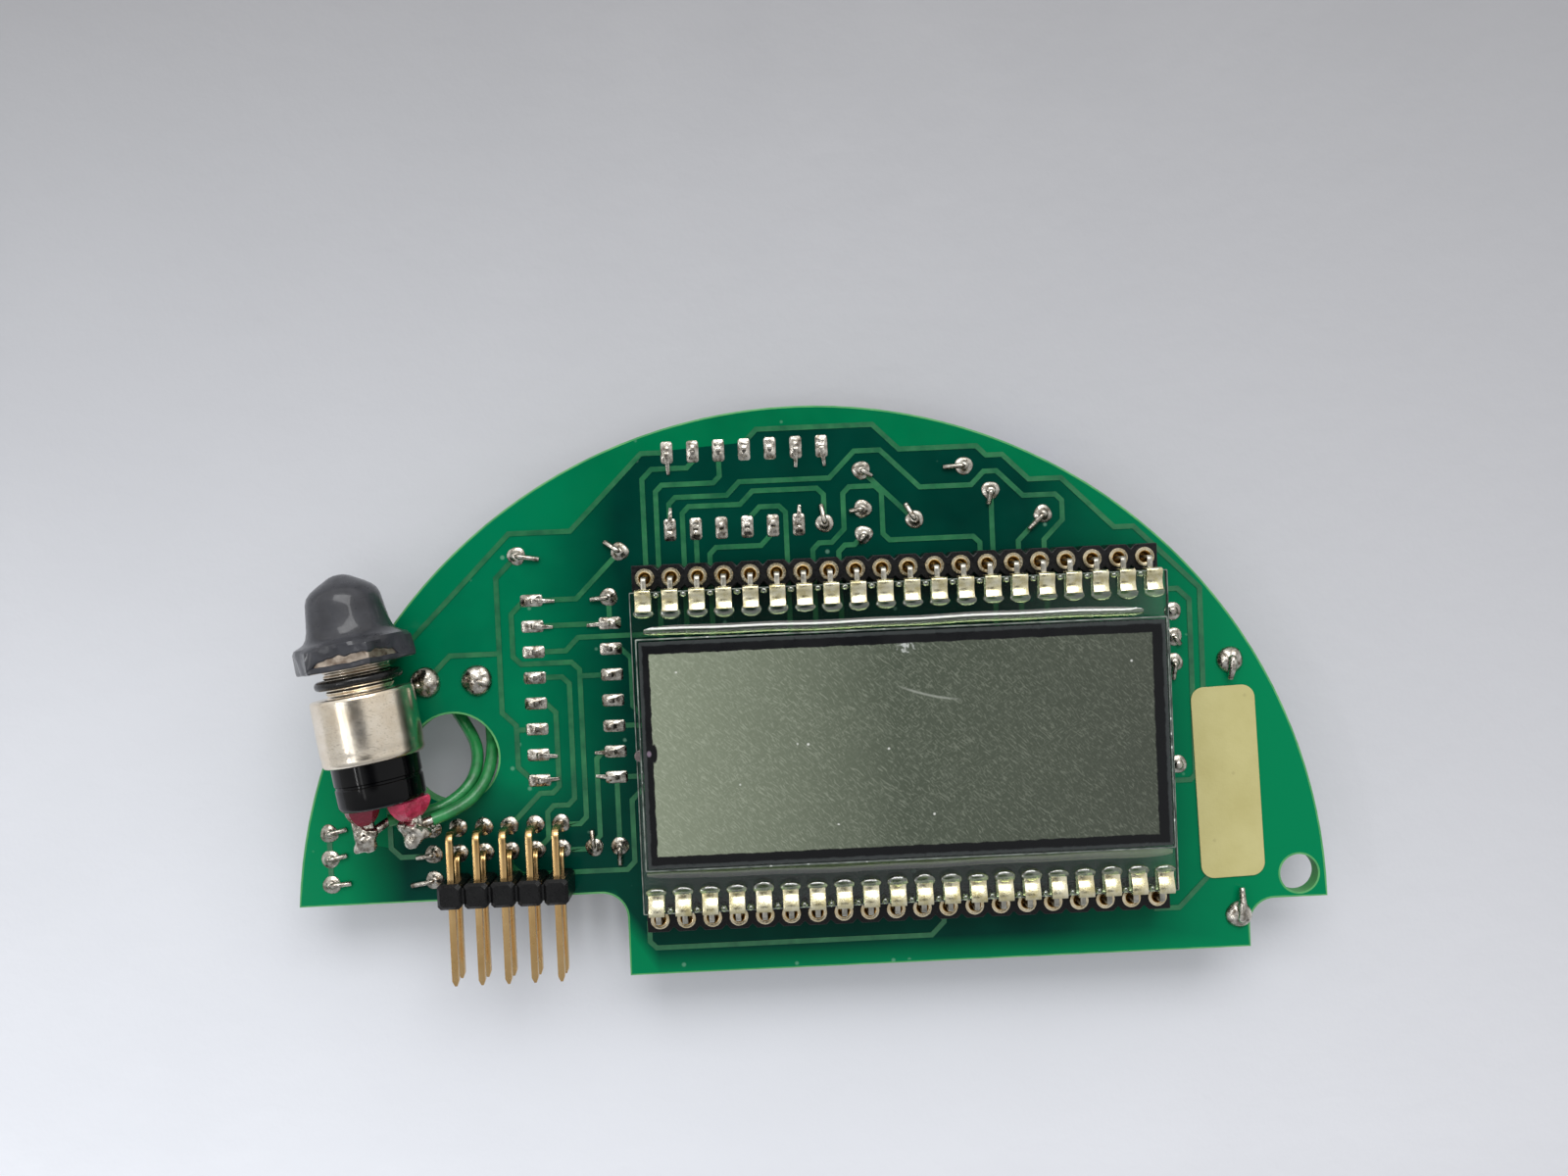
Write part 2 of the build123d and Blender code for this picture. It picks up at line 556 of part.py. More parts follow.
def make_nut():
    """The six-sided nut, with a flat towards the board."""
    outline = RegularPolygon(NUT_ACROSS_FLATS / 2, 6, major_radius=False)
    outline -= Circle(BUSH_DIA / 2)
    return SWITCH * plate(outline, NUT_AT, NUT_AT + NUT_THICK)


def make_plunger():
    radius = PLUNGER_DIA / 2
    top = PLUNGER_TOP_AT
    return SWITCH * turned((0, -PLUNGER_TAIL), (radius, -PLUNGER_TAIL), (radius, top - PLUNGER_EDGE),
                           (radius - PLUNGER_EDGE, top), (0, top))


def make_rear_body():
    radius = REAR_BODY_DIA / 2
    return SWITCH * turned((0, REAR_END), (radius - REAR_BODY_EDGE, REAR_END),
                           (radius, REAR_END + REAR_BODY_EDGE), (radius, -CAN_LENGTH), (0, -CAN_LENGTH))


def tag_places():
    return [Pos(side * TERMINAL_APART / 2, 0, REAR_END) for side in (-1, 1)]


def make_tag():
    """One solder tag, which points away from the switch."""
    width, thick, length = TERMINAL
    return Pos(0, 0, -length / 2) * Box(width, thick, length)


def make_resin():
    """The resin that seals each tag's foot."""
    foot = RegularPolygon(BASE_LOBE_DIA / 2, BASE_LOBE_SIDES)
    lobe = Rot(180, 0, 0) * extrude(foot, BASE_LOBE_HEIGHT, taper=BASE_LOBE_TAPER)
    return [SWITCH * place * (lobe - make_tag()) for place in tag_places()]


def make_tag_lumps():
    """The lump of solder round each tag's end."""
    half = extrude(RegularPolygon(LUMP_RADIUS, LUMP_SIDES), LUMP_HEIGHT / 2, taper=LUMP_TAPER)
    lump = Pos(0, 0, -TERMINAL[2]) * (half + Rot(180, 0, 0) * half)
    return [SWITCH * place * (lump - make_tag()) for place in tag_places()]


# ---- wires -------------------------------------------------------------------------------
def bend_radii(route):
    """The largest easy radius at each turn: 0.45 of the shorter run, over tan of half the turn."""
    spots = [Vector(*spot) for spot in route]
    radii = []
    for before, here, after in zip(spots, spots[1:], spots[2:]):
        turn = radians((here - before).get_angle(after - here))
        radii.append(0.45 * min((here - before).length, (after - here).length) / tan(turn / 2))
    return radii


def make_wire(route):
    """A wire of constant eight-sided section along a rounded route."""
    radii = bend_radii(route)
    path = FilletPolyline(*route, radius=radii)
    section = RegularPolygon(WIRE_DIA / 2, WIRE_SIDES)
    wire = sweep(Plane(origin=path @ 0, z_dir=path % 0) * section, path=path)
    print("wire length %.2f, radii %s" % (path.length, ["%.2f" % radius for radius in radii]))
    return wire


# ---- parts on the rear face ----------------------------------------------------------------
def make_dip(pins, rows_apart, shoulder, height, end):
    """A dual in-line package under the board, along X about its own centre: body and legs."""
    pitch = COLUMN_PITCH
    length = (pins - 1) * pitch + 2 * end
    top = REAR_Z - DIP_STANDOFF
    middle = top - height / 2
    half = rows_apart / 2 - shoulder
    body = side_plate([(half - DIP_DRAFT, top), (half, middle), (half - DIP_DRAFT, top - height),
                       (DIP_DRAFT - half, top - height), (-half, middle), (DIP_DRAFT - half, top)],
                      0, length)
    thick = DIP_LEG_THICK
    row = rows_apart / 2
    leg = side_plate([(half, middle + thick / 2), (row - thick / 2, middle + thick / 2),
                      (row - thick / 2, REAR_Z), (row + thick / 2, REAR_Z),
                      (row + thick / 2, middle - thick / 2), (half, middle - thick / 2)],
                     0, DIP_LEG_WIDTH)
    xs = [(k - (pins - 1) / 2) * pitch for k in range(pins)]
    legs = [Rot(0, 0, turn) * Pos(x, 0, 0) * leg for turn in (0, 180) for x in xs]
    return body, legs


def save_dip(name, place, body, legs):
    save(name + "_body", place * body)
    save(name + "_legs", *[place * leg for leg in legs])


def middle_of(spots):
    return Pos(sum(x for x, y in spots) / len(spots), sum(y for x, y in spots) / len(spots))


def make_resistor(spots):
    """An axial resistor that lies under the board between its two leads."""
    (x1, y), (x2, _) = spots
    length, dia = RESISTOR_BODY
    centre_z = REAR_Z - RESISTOR_LIFT - dia / 2
    half = LEAD_SIZE / 2
    span = (x2 - x1) / 2
    low = centre_z - half
    bent = side_plate([(-span - half, REAR_Z), (half - span, REAR_Z), (half - span, centre_z + half),
                       (span - half, centre_z + half), (span - half, REAR_Z), (span + half, REAR_Z),
                       (span + half, low), (-span - half, low)], 0, LEAD_SIZE)
    body = Pos(0, 0, centre_z) * Rot(90, 0, 0) * rod(dia / 2, length, ROD_SIDES)
    return Pos((x1 + x2) / 2, y) * Rot(0, 0, 90) * (body + bent)


def make_ceramic(spots):
    """A small disc capacitor that hangs on two straight leads."""
    (x1, y1), (x2, y2) = spots
    turn = 90 if abs(x2 - x1) > abs(y2 - y1) else 0
    drop = CERAMIC_LIFT + CERAMIC_DIA * 0.3
    disc = Rot(0, 90, 0) * rod(CERAMIC_DIA / 2, CERAMIC_THICK, ROD_SIDES)
    disc = Pos(0, 0, -CERAMIC_LIFT - CERAMIC_DIA / 2) * disc
    for side in (-1, 1):
        disc += block((0, side * COLUMN_PITCH / 2), (LEAD_SIZE, LEAD_SIZE, drop), -drop)
    return Pos((x1 + x2) / 2, (y1 + y2) / 2, REAR_Z) * Rot(0, 0, turn) * disc


def make_regulator():
    """The three-lead part: a flat-sided body with its outer leads splayed."""
    x, y = REGULATOR_PINS[1]
    body = Circle(REGULATOR_DIA / 2) - Pos(REGULATOR_FLAT, 0) * Rectangle(
        REGULATOR_DIA, REGULATOR_DIA, align=(Align.MIN, Align.CENTER))
    part = plate(body, -REGULATOR_LIFT - REGULATOR_HEIGHT, -REGULATOR_LIFT)
    half = LEAD_SIZE / 2
    for side in (-1, 0, 1):
        foot = side * COLUMN_PITCH
        root = foot / 2
        part += side_plate([(foot - half, 0), (foot + half, 0), (root + half, -REGULATOR_LIFT),
                            (root - half, -REGULATOR_LIFT)], 0, LEAD_SIZE)
    return Pos(x, y, REAR_Z) * part


TRIMMER_MIDDLE_Y = (TRIMMER_PINS[0][1] + TRIMMER_PINS[1][1]) / 2
TRIMMER_MIDDLE_X = (TRIMMER_PINS[0][0] + TRIMMER_PINS[2][0]) / 2
TRIMMER_PLACE = Pos(TRIMMER_MIDDLE_X, TRIMMER_MIDDLE_Y, REAR_Z - TRIMMER_LIFT - TRIMMER_BODY[2] / 2)
SCREW_PLACE = TRIMMER_PLACE * Pos(TRIMMER_BODY[0] / 2, 0, 0) * Rot(0, 90, 0)


def make_trimmer_body():
    """The trimmer's box, with a round well in its end for the screw."""
    well = Cylinder(TRIMMER_SCREW_DIA / 2 + TRIMMER_SCREW_GAP, TRIMMER_SCREW_DEEP + TOUCH_GAP,
                    align=(Align.CENTER, Align.CENTER, Align.MAX))
    return TRIMMER_PLACE * Box(*TRIMMER_BODY) - SCREW_PLACE * well


def make_trimmer_screw():
    """The slotted adjusting screw."""
    width, depth = TRIMMER_SCREW_SLOT
    screw = Pos(0, 0, -TRIMMER_SCREW_DEEP) * Cylinder(
        TRIMMER_SCREW_DIA / 2, TRIMMER_SCREW_DEEP + TRIMMER_SCREW_OUT,
        align=(Align.CENTER, Align.CENTER, Align.MIN))
    screw -= block((0, 0), (width, 2 * TRIMMER_SCREW_DIA, 2 * depth), TRIMMER_SCREW_OUT - depth)
    return SCREW_PLACE * screw


def make_trimmer_pins():
    pin = block((0, 0), (LEAD_SIZE, LEAD_SIZE, TRIMMER_LIFT), REAR_Z - TRIMMER_LIFT)
    return [Pos(*spot) * pin for spot in TRIMMER_PINS]


def make_filter():
    """The large axial capacitor with a crimped groove near one end, and its two leads."""
    (x, y2), (_, y1) = FILTER_LEADS
    radius = FILTER_BODY_DIA / 2
    centre_z = REAR_Z - FILTER_LIFT - radius
    half = FILTER_BODY_LENGTH / 2
    groove = half - FILTER_CRIMP_AT
    lead = FILTER_LEAD_DIA / 2
    span = (y2 - y1) / 2
    body = faceted(FILTER_SIDES, (radius, -half), (radius, groove - FILTER_CRIMP),
                   (radius - FILTER_CRIMP, groove), (radius, groove + FILTER_CRIMP), (radius, half))
    place = Pos(x, (y1 + y2) / 2, centre_z) * Rot(-90, 0, 0)
    rise = REAR_Z - centre_z
    bent = side_plate([(half, lead), (span - lead, lead), (span - lead, rise), (span + lead, rise),
                       (span + lead, -lead), (half, -lead)], 0, FILTER_LEAD_DIA)
    leads = [Pos(x, (y1 + y2) / 2, centre_z) * Rot(0, 0, turn) * bent for turn in (0, 180)]
    return place * body, leads


# ---- build ---------------------------------------------------------------------------------
os.makedirs("parts", exist_ok=True)

save("circuit_board", make_board())
save("copper_tracks", make_tracks())
save("pad_solder_joints", *make_pad_joints())
save("round_solder_joints", *make_round_joints())
save("wire_solder_domes", *[Pos(*spot) * make_dome(WIRE_JOINT_RADIUS) for spot in WIRE_PADS],
     *[Pos(*spot) * make_dome(POWER_JOINT_RADIUS) for spot in FILTER_LEADS])
save("blank_label", Pos(*LABEL_CENTRE) * Rot(0, 0, LABEL_TURN) * plate(
    RectangleRounded(LABEL[0], LABEL[1], LABEL_CORNER), TRACK_HEIGHT, TRACK_HEIGHT + LABEL[2]))

save("display_rear_glass", DISPLAY * block((0, 0), REAR_GLASS, REAR_GLASS_Z))
save("display_front_glass", DISPLAY * block((0, 0), FRONT_GLASS, FRONT_GLASS_Z))
save("cell_seal", make_seal())
save("fill_port_plug", make_fill_plug())
save("front_polariser", DISPLAY * block((0, 0), POLARISER, FRONT_GLASS_TOP))
save("rear_reflector", DISPLAY * block((0, 0), REFLECTOR, REAR_GLASS_Z - REFLECTOR[2]))
both_rows("display_pins", make_display_pin(), COLUMNS)
both_rows("socket_strip", make_socket_strip(), [0])
both_rows("socket_contacts", make_contact(), COLUMNS)

save("header_housing", make_header_housing())
save("upper_header_pins", *[make_header_pin(spot, HEADER_HIGH_Z) for spot in HEADER_BACK])
save("lower_header_pins", *[make_header_pin(spot, HEADER_LOW_Z) for spot in HEADER_FRONT])

save("switch_boot", make_boot())
save("boot_nut", make_nut())
save("panel_o_ring", make_o_ring())
save("switch_bushing", make_bushing())
save("switch_plunger", make_plunger())
save("switch_can", make_can())
save("switch_rear_body", make_rear_body())
save("base_resin", *make_resin())
save("switch_terminals", *[SWITCH * place * make_tag() for place in tag_places()])
save("terminal_solder", *make_tag_lumps())
save("left_switch_wire", make_wire(LEFT_WIRE_ROUTE))
save("right_switch_wire", make_wire(RIGHT_WIRE_ROUTE))

save_dip("timing_circuit", middle_of(DIP14_TOP + DIP14_LOW),
         *make_dip(len(DIP14_TOP), DIP_ROWS_APART, DIP_SHOULDER, DIP_BODY_HEIGHT, DIP_END))
save_dip("logic_circuit", middle_of(DIP16_LEFT + DIP16_RIGHT) * Rot(0, 0, 90),
         *make_dip(len(DIP16_LEFT), DIP_ROWS_APART, DIP_SHOULDER, DIP_BODY_HEIGHT, DIP_END))
save_dip("display_driver", Pos(*DRIVER_CENTRE),
         *make_dip(DRIVER_PINS, DRIVER_ROWS_APART, DRIVER_SHOULDER, DRIVER_BODY_HEIGHT, DRIVER_END))
save("axial_resistors", *[make_resistor(pair) for pair in RESISTORS])
save("disc_capacitors", *[make_ceramic(pair) for pair in CERAMICS])
save("three_lead_regulator", make_regulator())
save("trimmer_body", make_trimmer_body())
save("trimmer_screw", make_trimmer_screw())
save("trimmer_pins", *make_trimmer_pins())
FILTER_BODY, FILTER_LEAD_PAIR = make_filter()
save("filter_capacitor", FILTER_BODY)
save("filter_capacitor_leads", *FILTER_LEAD_PAIR)
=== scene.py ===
import json
import bmesh
import bpy
import numpy as np
from mathutils import Matrix, Vector


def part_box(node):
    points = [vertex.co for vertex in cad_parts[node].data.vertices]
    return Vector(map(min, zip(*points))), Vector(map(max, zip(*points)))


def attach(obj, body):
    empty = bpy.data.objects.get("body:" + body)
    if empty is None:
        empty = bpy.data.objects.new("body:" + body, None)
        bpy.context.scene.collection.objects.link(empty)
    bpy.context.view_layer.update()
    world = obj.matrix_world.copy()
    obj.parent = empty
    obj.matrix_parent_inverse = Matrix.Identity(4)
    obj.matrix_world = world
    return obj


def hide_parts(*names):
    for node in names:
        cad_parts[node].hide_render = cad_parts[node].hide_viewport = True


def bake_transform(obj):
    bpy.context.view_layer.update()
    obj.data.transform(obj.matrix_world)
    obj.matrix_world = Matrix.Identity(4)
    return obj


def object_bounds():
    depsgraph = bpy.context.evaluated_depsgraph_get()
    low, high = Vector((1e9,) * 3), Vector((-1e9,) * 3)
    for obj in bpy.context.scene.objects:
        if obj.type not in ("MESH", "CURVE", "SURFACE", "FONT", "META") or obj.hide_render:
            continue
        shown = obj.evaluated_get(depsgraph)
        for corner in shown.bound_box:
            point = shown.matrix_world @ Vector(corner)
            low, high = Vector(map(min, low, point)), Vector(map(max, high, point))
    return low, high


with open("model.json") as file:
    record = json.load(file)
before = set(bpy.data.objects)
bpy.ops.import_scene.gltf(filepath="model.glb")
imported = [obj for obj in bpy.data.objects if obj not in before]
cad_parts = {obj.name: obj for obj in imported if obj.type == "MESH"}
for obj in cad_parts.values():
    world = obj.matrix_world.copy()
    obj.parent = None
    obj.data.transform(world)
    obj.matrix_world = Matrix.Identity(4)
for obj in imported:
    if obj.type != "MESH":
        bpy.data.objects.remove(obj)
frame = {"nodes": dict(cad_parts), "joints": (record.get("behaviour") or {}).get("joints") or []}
cad_box = [list(corner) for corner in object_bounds()]

# ---- The table that the board lies on, and the daylight over it -----------------------------
# A pale table top, lit by a broad window beyond the board's round edge and by a room; its colour
# is painted darker to the right and towards the back, as painted shade. Two small lamps streak the
# metal, and one overhead, which no mirror or glass shows, lights what is matte. None of it belongs
# to the object.
MM = 0.001
bpy.context.scene.view_settings.view_transform = "Standard"


def shade(red, green, blue):
    """A colour written as 0 to 255 in sRGB, as the linear colour that a shader takes."""
    value = np.array([red, green, blue]) / 255
    linear = np.where(value <= 0.04045, value / 12.92, ((value + 0.055) / 1.055) ** 2.4)
    return (*linear, 1.0)


def add(tree, kind, inputs=None, **settings):
    """Adds a node to a tree. Each input is given a number or colour, or joined to an output."""
    made = tree.nodes.new("ShaderNode" + kind)
    for key, value in settings.items():
        setattr(made, key, value)
    for key, value in (inputs or {}).items():
        if isinstance(value, bpy.types.NodeSocket):
            tree.links.new(value, made.inputs[key])
        else:
            made.inputs[key].default_value = value
    return made


def between(tree, factor, first, second):
    """The colour that lies between two others, by a factor from 0 to 1."""
    return add(tree, "Mix", {0: factor, 6: first, 7: second}, data_type="RGBA").outputs[2]


def scaled(tree, value, low, high, to_low=0.0, to_high=1.0):
    """A value brought from one range to another and held there."""
    ends = {"Value": value, "From Min": low, "From Max": high, "To Min": to_low,
            "To Max": to_high}
    return add(tree, "MapRange", ends).outputs["Result"]


def over_mm(tree, value, low, high, to_low=0.0, to_high=1.0):
    """A length brought from a range given in millimetres to another range, and held there."""
    return scaled(tree, value, low * MM, high * MM, to_low, to_high)


def joined(tree, operation, first, second):
    """Two values put through one sum, such as MULTIPLY or MAXIMUM."""
    return add(tree, "Math", {0: first, 1: second}, operation=operation).outputs[0]


def shared(tree, effect, *inputs):
    """The output of a shared node group that is given its inputs in order."""
    return add(tree, "Group", dict(enumerate(inputs)), node_tree=effect).outputs[0]


def group(name, inputs):
    """An empty shared node group: its tree, its input node and its output node."""
    tree = bpy.data.node_groups.new(name, "ShaderNodeTree")
    for key, kind in inputs.items():
        tree.interface.new_socket(name=key, in_out="INPUT", socket_type="NodeSocket" + kind)
    tree.interface.new_socket(name="Amount", in_out="OUTPUT", socket_type="NodeSocketFloat")
    return tree, tree.nodes.new("NodeGroupInput"), tree.nodes.new("NodeGroupOutput")


# Soft patches a given number of millimetres across: a noise whose middle range is spread out.
cloudy, given, gives = group("cloudy", {"Place": "Vector", "Size": "Float"})
per_metre = joined(cloudy, "DIVIDE", 1 / MM, given.outputs["Size"])
noise = add(cloudy, "TexNoise", {"Vector": given.outputs["Place"], "Scale": per_metre,
                                 "Detail": 3.0, "Roughness": 0.55})
cloudy.links.new(scaled(cloudy, noise.outputs[0], 0.32, 0.68), gives.inputs[0])

# Small separate specks: the middles of some cells of a cell pattern, where a noise allows them.
specks, given, gives = group("specks", {"Place": "Vector", "Size": "Float", "Share": "Float"})
per_metre = joined(specks, "DIVIDE", 1 / MM, given.outputs["Size"])
cells = add(specks, "TexVoronoi", {"Vector": given.outputs["Place"], "Scale": per_metre})
picked = add(specks, "SeparateColor", {0: cells.outputs["Color"]})
chosen = joined(specks, "LESS_THAN", picked.outputs[0], given.outputs["Share"])
round_dot = scaled(specks, cells.outputs["Distance"], 0.34, 0.16)
specks.links.new(joined(specks, "MULTIPLY", chosen, round_dot), gives.inputs[0])

# Fine straight scratches: a noise drawn out six times along one direction, cut to its peaks.
scratches, given, gives = group("scratches",
                                {"Place": "Vector", "Turn": "Float", "Size": "Float"})
turned_place = add(scratches, "VectorRotate", {"Vector": given.outputs["Place"],
                                               "Angle": given.outputs["Turn"]},
                   rotation_type="Z_AXIS")
per_metre = joined(scratches, "DIVIDE", 1 / MM, given.outputs["Size"])
drawn = add(scratches, "VectorMath", {0: turned_place.outputs[0], 1: (0.17, 1.0, 1.0)},
            operation="MULTIPLY")
noise = add(scratches, "TexNoise", {"Vector": drawn.outputs[0], "Scale": per_metre,
                                    "Detail": 1.0})
scratches.links.new(scaled(scratches, noise.outputs[0], 0.60, 0.68), gives.inputs[0])


def patches(tree, place, size):
    return shared(tree, cloudy, place, size)


def finish(name, dark, light, size, rough, grain=(0.0, 0.3), **constants):
    """A material whose colour drifts between two shades over patches size mm across, and whose
    roughness drifts between two values over finer ones. grain is the height and size in mm of
    its small bumps. Returns the material, its tree, shader, place and colour outputs."""
    made = bpy.data.materials.new(name)
    made.use_nodes = True
    tree = made.node_tree
    shader = tree.nodes["Principled BSDF"]
    place = add(tree, "TexCoord").outputs["Object"]
    colour = between(tree, patches(tree, place, size), shade(*dark), shade(*light))
    tree.links.new(colour, shader.inputs["Base Color"])
    uneven = scaled(tree, patches(tree, place, size / 3.7), 0, 1, *rough)
    tree.links.new(uneven, shader.inputs["Roughness"])
    if grain[0]:
        bump = add(tree, "Bump", {"Height": patches(tree, place, grain[1]),
                                  "Distance": grain[0] * MM,
                                  "Strength": 1.0})
        tree.links.new(bump.outputs[0], shader.inputs["Normal"])
    for key, value in constants.items():
        shader.inputs[key.replace("_", " ")].default_value = value
    return made, tree, shader, place, colour


def surface(points, wrap_rows=False, wrap_columns=True):
    """The points and quads of a grid of points, rows by columns, closed on itself if wrapped."""
    index = np.arange(points.shape[0] * points.shape[1]).reshape(points.shape[:2])
    if wrap_rows:
        index = np.concatenate([index, index[:1]])
    if wrap_columns:
        index = np.concatenate([index, index[:, :1]], axis=1)
    quads = np.stack([index[:-1, :-1], index[1:, :-1], index[1:, 1:], index[:-1, 1:]], -1)
    return points.reshape(-1, 3), quads.reshape(-1, 4)


lowest, highest = (np.array(corner) / MM for corner in cad_box)
FLOOR_HALF = 900.0
FLOOR_GAP = 0.01
across = np.linspace(-FLOOR_HALF, FLOOR_HALF, 5)
floor_x, floor_y = np.meshgrid(across, across, indexing="ij")
floor_z = np.full_like(floor_x, lowest[2] - FLOOR_GAP)
floor_points, floor_quads = surface(np.stack([floor_x, floor_y, floor_z], axis=-1) * MM,
                                    wrap_columns=False)
table_mesh = bpy.data.meshes.new("table_top")
table_mesh.from_pydata(floor_points.tolist(), [], floor_quads.tolist())
table = bpy.data.objects.new("table_top", table_mesh)
bpy.context.collection.objects.link(table)
table_top, tree, shader, place, colour = finish(
    "pale_table", (222, 225, 232), (230, 233, 240), 60, (0.55, 0.65), grain=(0.03, 3.0))
# Painted shade: the table top is painted darker to the right and towards the back, where less
# light falls on it.
spot = add(tree, "SeparateXYZ", {0: place})
rightward_shade = over_mm(tree, spot.outputs["X"], -120, 60)
further_shade = over_mm(tree, spot.outputs["Y"], -30, 105)
shaded = between(tree, rightward_shade, colour, shade(200, 201, 206))
shaded = between(tree, further_shade, shaded, shade(136, 136, 139))
tree.links.new(shaded, shader.inputs["Base Color"])
table_mesh.materials.append(table_top)

CAMERA_LENS = 30.403
CAMERA_STANDS = (-51.497, 33.508, 130.651)
CAMERA_TURN = Vector((0.02174624, 0.01166749, 0.04399132))
camera = bpy.data.cameras.new("camera")
camera.lens = CAMERA_LENS
camera.sensor_width = 36.0
camera.clip_start = 0.005
viewer = bpy.data.objects.new("camera", camera)
bpy.context.collection.objects.link(viewer)
stand = Matrix.Translation(Vector(CAMERA_STANDS) * MM)
viewer.matrix_world = stand @ Matrix.Rotation(-CAMERA_TURN.length, 4, CAMERA_TURN.normalized())
bpy.context.scene.camera = viewer


def lamp(name, width, height, watts, stands, aims, mirrored=True):
    """An oblong lamp, width by height in metres, standing at one point and aimed at another."""
    light = bpy.data.lights.new(name, "AREA")
    light.shape = "RECTANGLE"
    light.size, light.size_y, light.energy = width, height, watts
    stand = bpy.data.objects.new(name, light)
    bpy.context.collection.objects.link(stand)
    stand.location = Vector(stands) * MM
    stand.visible_camera = False
    stand.visible_glossy = stand.visible_transmission = mirrored
    way = Vector(aims) * MM - stand.location
    stand.rotation_euler = way.to_track_quat("-Z", "Y").to_euler()


lamp("window", 0.42, 0.22, 1.3, (-20, 320, 380), (-48, 18, 0))
lamp("tube", 0.16, 0.012, 0.08, (-330, 10, 310), (-93, 38, 8))
lamp("far_strip", 0.16, 0.03, 0.025, (-238, -16, 300), (-88, 20, 8))
lamp("overhead", 0.6, 0.5, 1.75, (-60, 20, 900), (-50, 20, 0), mirrored=False)

room = bpy.data.worlds.new("room")
room.use_nodes = True
bpy.context.scene.world = room
backdrop = room.node_tree.nodes["Background"]
towards = add(room.node_tree, "TexCoord").outputs["Generated"]
along = add(room.node_tree, "SeparateXYZ", {0: towards})
rise = scaled(room.node_tree, along.outputs["Y"], -0.7, 0.8)
walls = between(room.node_tree, rise, shade(176, 178, 182), shade(255, 254, 252))
# The dim patch overhead is an ellipse: the root of the squares of the way's lean, each over a
# width.
offset = add(room.node_tree, "VectorMath", {0: towards, 1: (0.05, -0.02, 0.0)},
             operation="ADD").outputs[0]
squeezed = add(room.node_tree, "VectorMath", {0: offset, 1: (3.3, 5.6, 0.0)},
               operation="MULTIPLY").outputs[0]
out = add(room.node_tree, "VectorMath", {0: squeezed}, operation="LENGTH").outputs["Value"]
dim = scaled(room.node_tree, out, 1.25, 0.75)
above = scaled(room.node_tree, along.outputs["Z"], 0.0, 0.3)
dim = joined(room.node_tree, "MULTIPLY", dim, above)
room.node_tree.links.new(between(room.node_tree, dim, walls, shade(70, 72, 76)),
                         backdrop.inputs["Color"])
backdrop.inputs["Strength"].default_value = 0.92

# ---- Switch wires ---------------------------------------------------------------------------
# Two short hook-up wires in soft green plastic, soldered to the switch's tags. They go down
# through the board's round window, back under it, and up into their two solder joints.
WIRE_ACROSS = 1.2
LEFT_WIRE = [(-89.0, 10.05, 3.7), (-86.4, 10.35, 2.6), (-83.5, 11.05, 2.0), (-81.2, 13.05, 1.0),
             (-81.0, 15.75, -1.1), (-82.6, 18.25, -3.1), (-85.765, 22.86, -3.4),
             (-85.765, 22.86, -0.4)]
RIGHT_WIRE = [(-84.7, 10.05, 4.1), (-82.2, 10.75, 2.8), (-80.2, 12.65, 1.3), (-79.6, 15.05, -0.4),
              (-80.0, 17.65, -2.8), (-80.685, 22.86, -3.4), (-80.685, 22.86, -0.4)]
green_plastic = finish("green_wire_plastic", (14, 92, 44), (34, 128, 66), 1.6, (0.28, 0.42),
                       grain=(0.02, 0.5), Coat_Weight=0.3)[0]


def wire(name, route, node):
    """A plastic-covered wire: one smooth spline with the route's points as its control points."""
    line = bpy.data.curves.new(name, "CURVE")
    line.dimensions = "3D"
    spline = line.splines.new("NURBS")
    spline.points.add(len(route) - 1)
    spline.points.foreach_set("co", np.hstack([np.array(route) * MM,
                                               np.ones((len(route), 1))]).ravel())
    spline.order_u = 3
    spline.use_endpoint_u = True
    spline.resolution_u = 16
    line.bevel_depth = WIRE_ACROSS / 2 * MM
    line.bevel_resolution = 6
    line.use_fill_caps = True
    line.materials.append(green_plastic)
    made = bpy.data.objects.new(name, line)
    bpy.context.collection.objects.link(made)
    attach(made, "board")
    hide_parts(node)


wire("left_green_wire", LEFT_WIRE, "left_switch_wire")
wire("right_green_wire", RIGHT_WIRE, "right_switch_wire")

# ---- Board blank ----------------------------------------------------------------------------
# Glass-fibre laminate 1.6 mm thick, routed to shape and drilled. Green solder mask covers both
# faces and stops a little short of every cut edge, where the yellow-green laminate shows.
MASK_SHORT = 0.18
laminate = finish("bare_laminate", (58, 136, 78), (92, 160, 96), 2.5, (0.5, 0.7),
                  grain=(0.01, 0.3))[0]


# From and to, in mm: the brighter zones at the left and right, then the brighter margin along the
# straight edge, which stands LEFT_STEP higher at the left, and along the left and right edges.
LEFT_ZONE_X, LEFT_ZONE_Y, RIGHT_ZONE_X = (-66, -76), (7, 13), (-26, -8)
EDGE_Y, LEFT_EDGE_X, RIGHT_EDGE_X = (1.6, -1.0), (-88.5, -94.5), (-15.0, -3.0)
STEP_X, LEFT_STEP = (-68, -64), 6.2


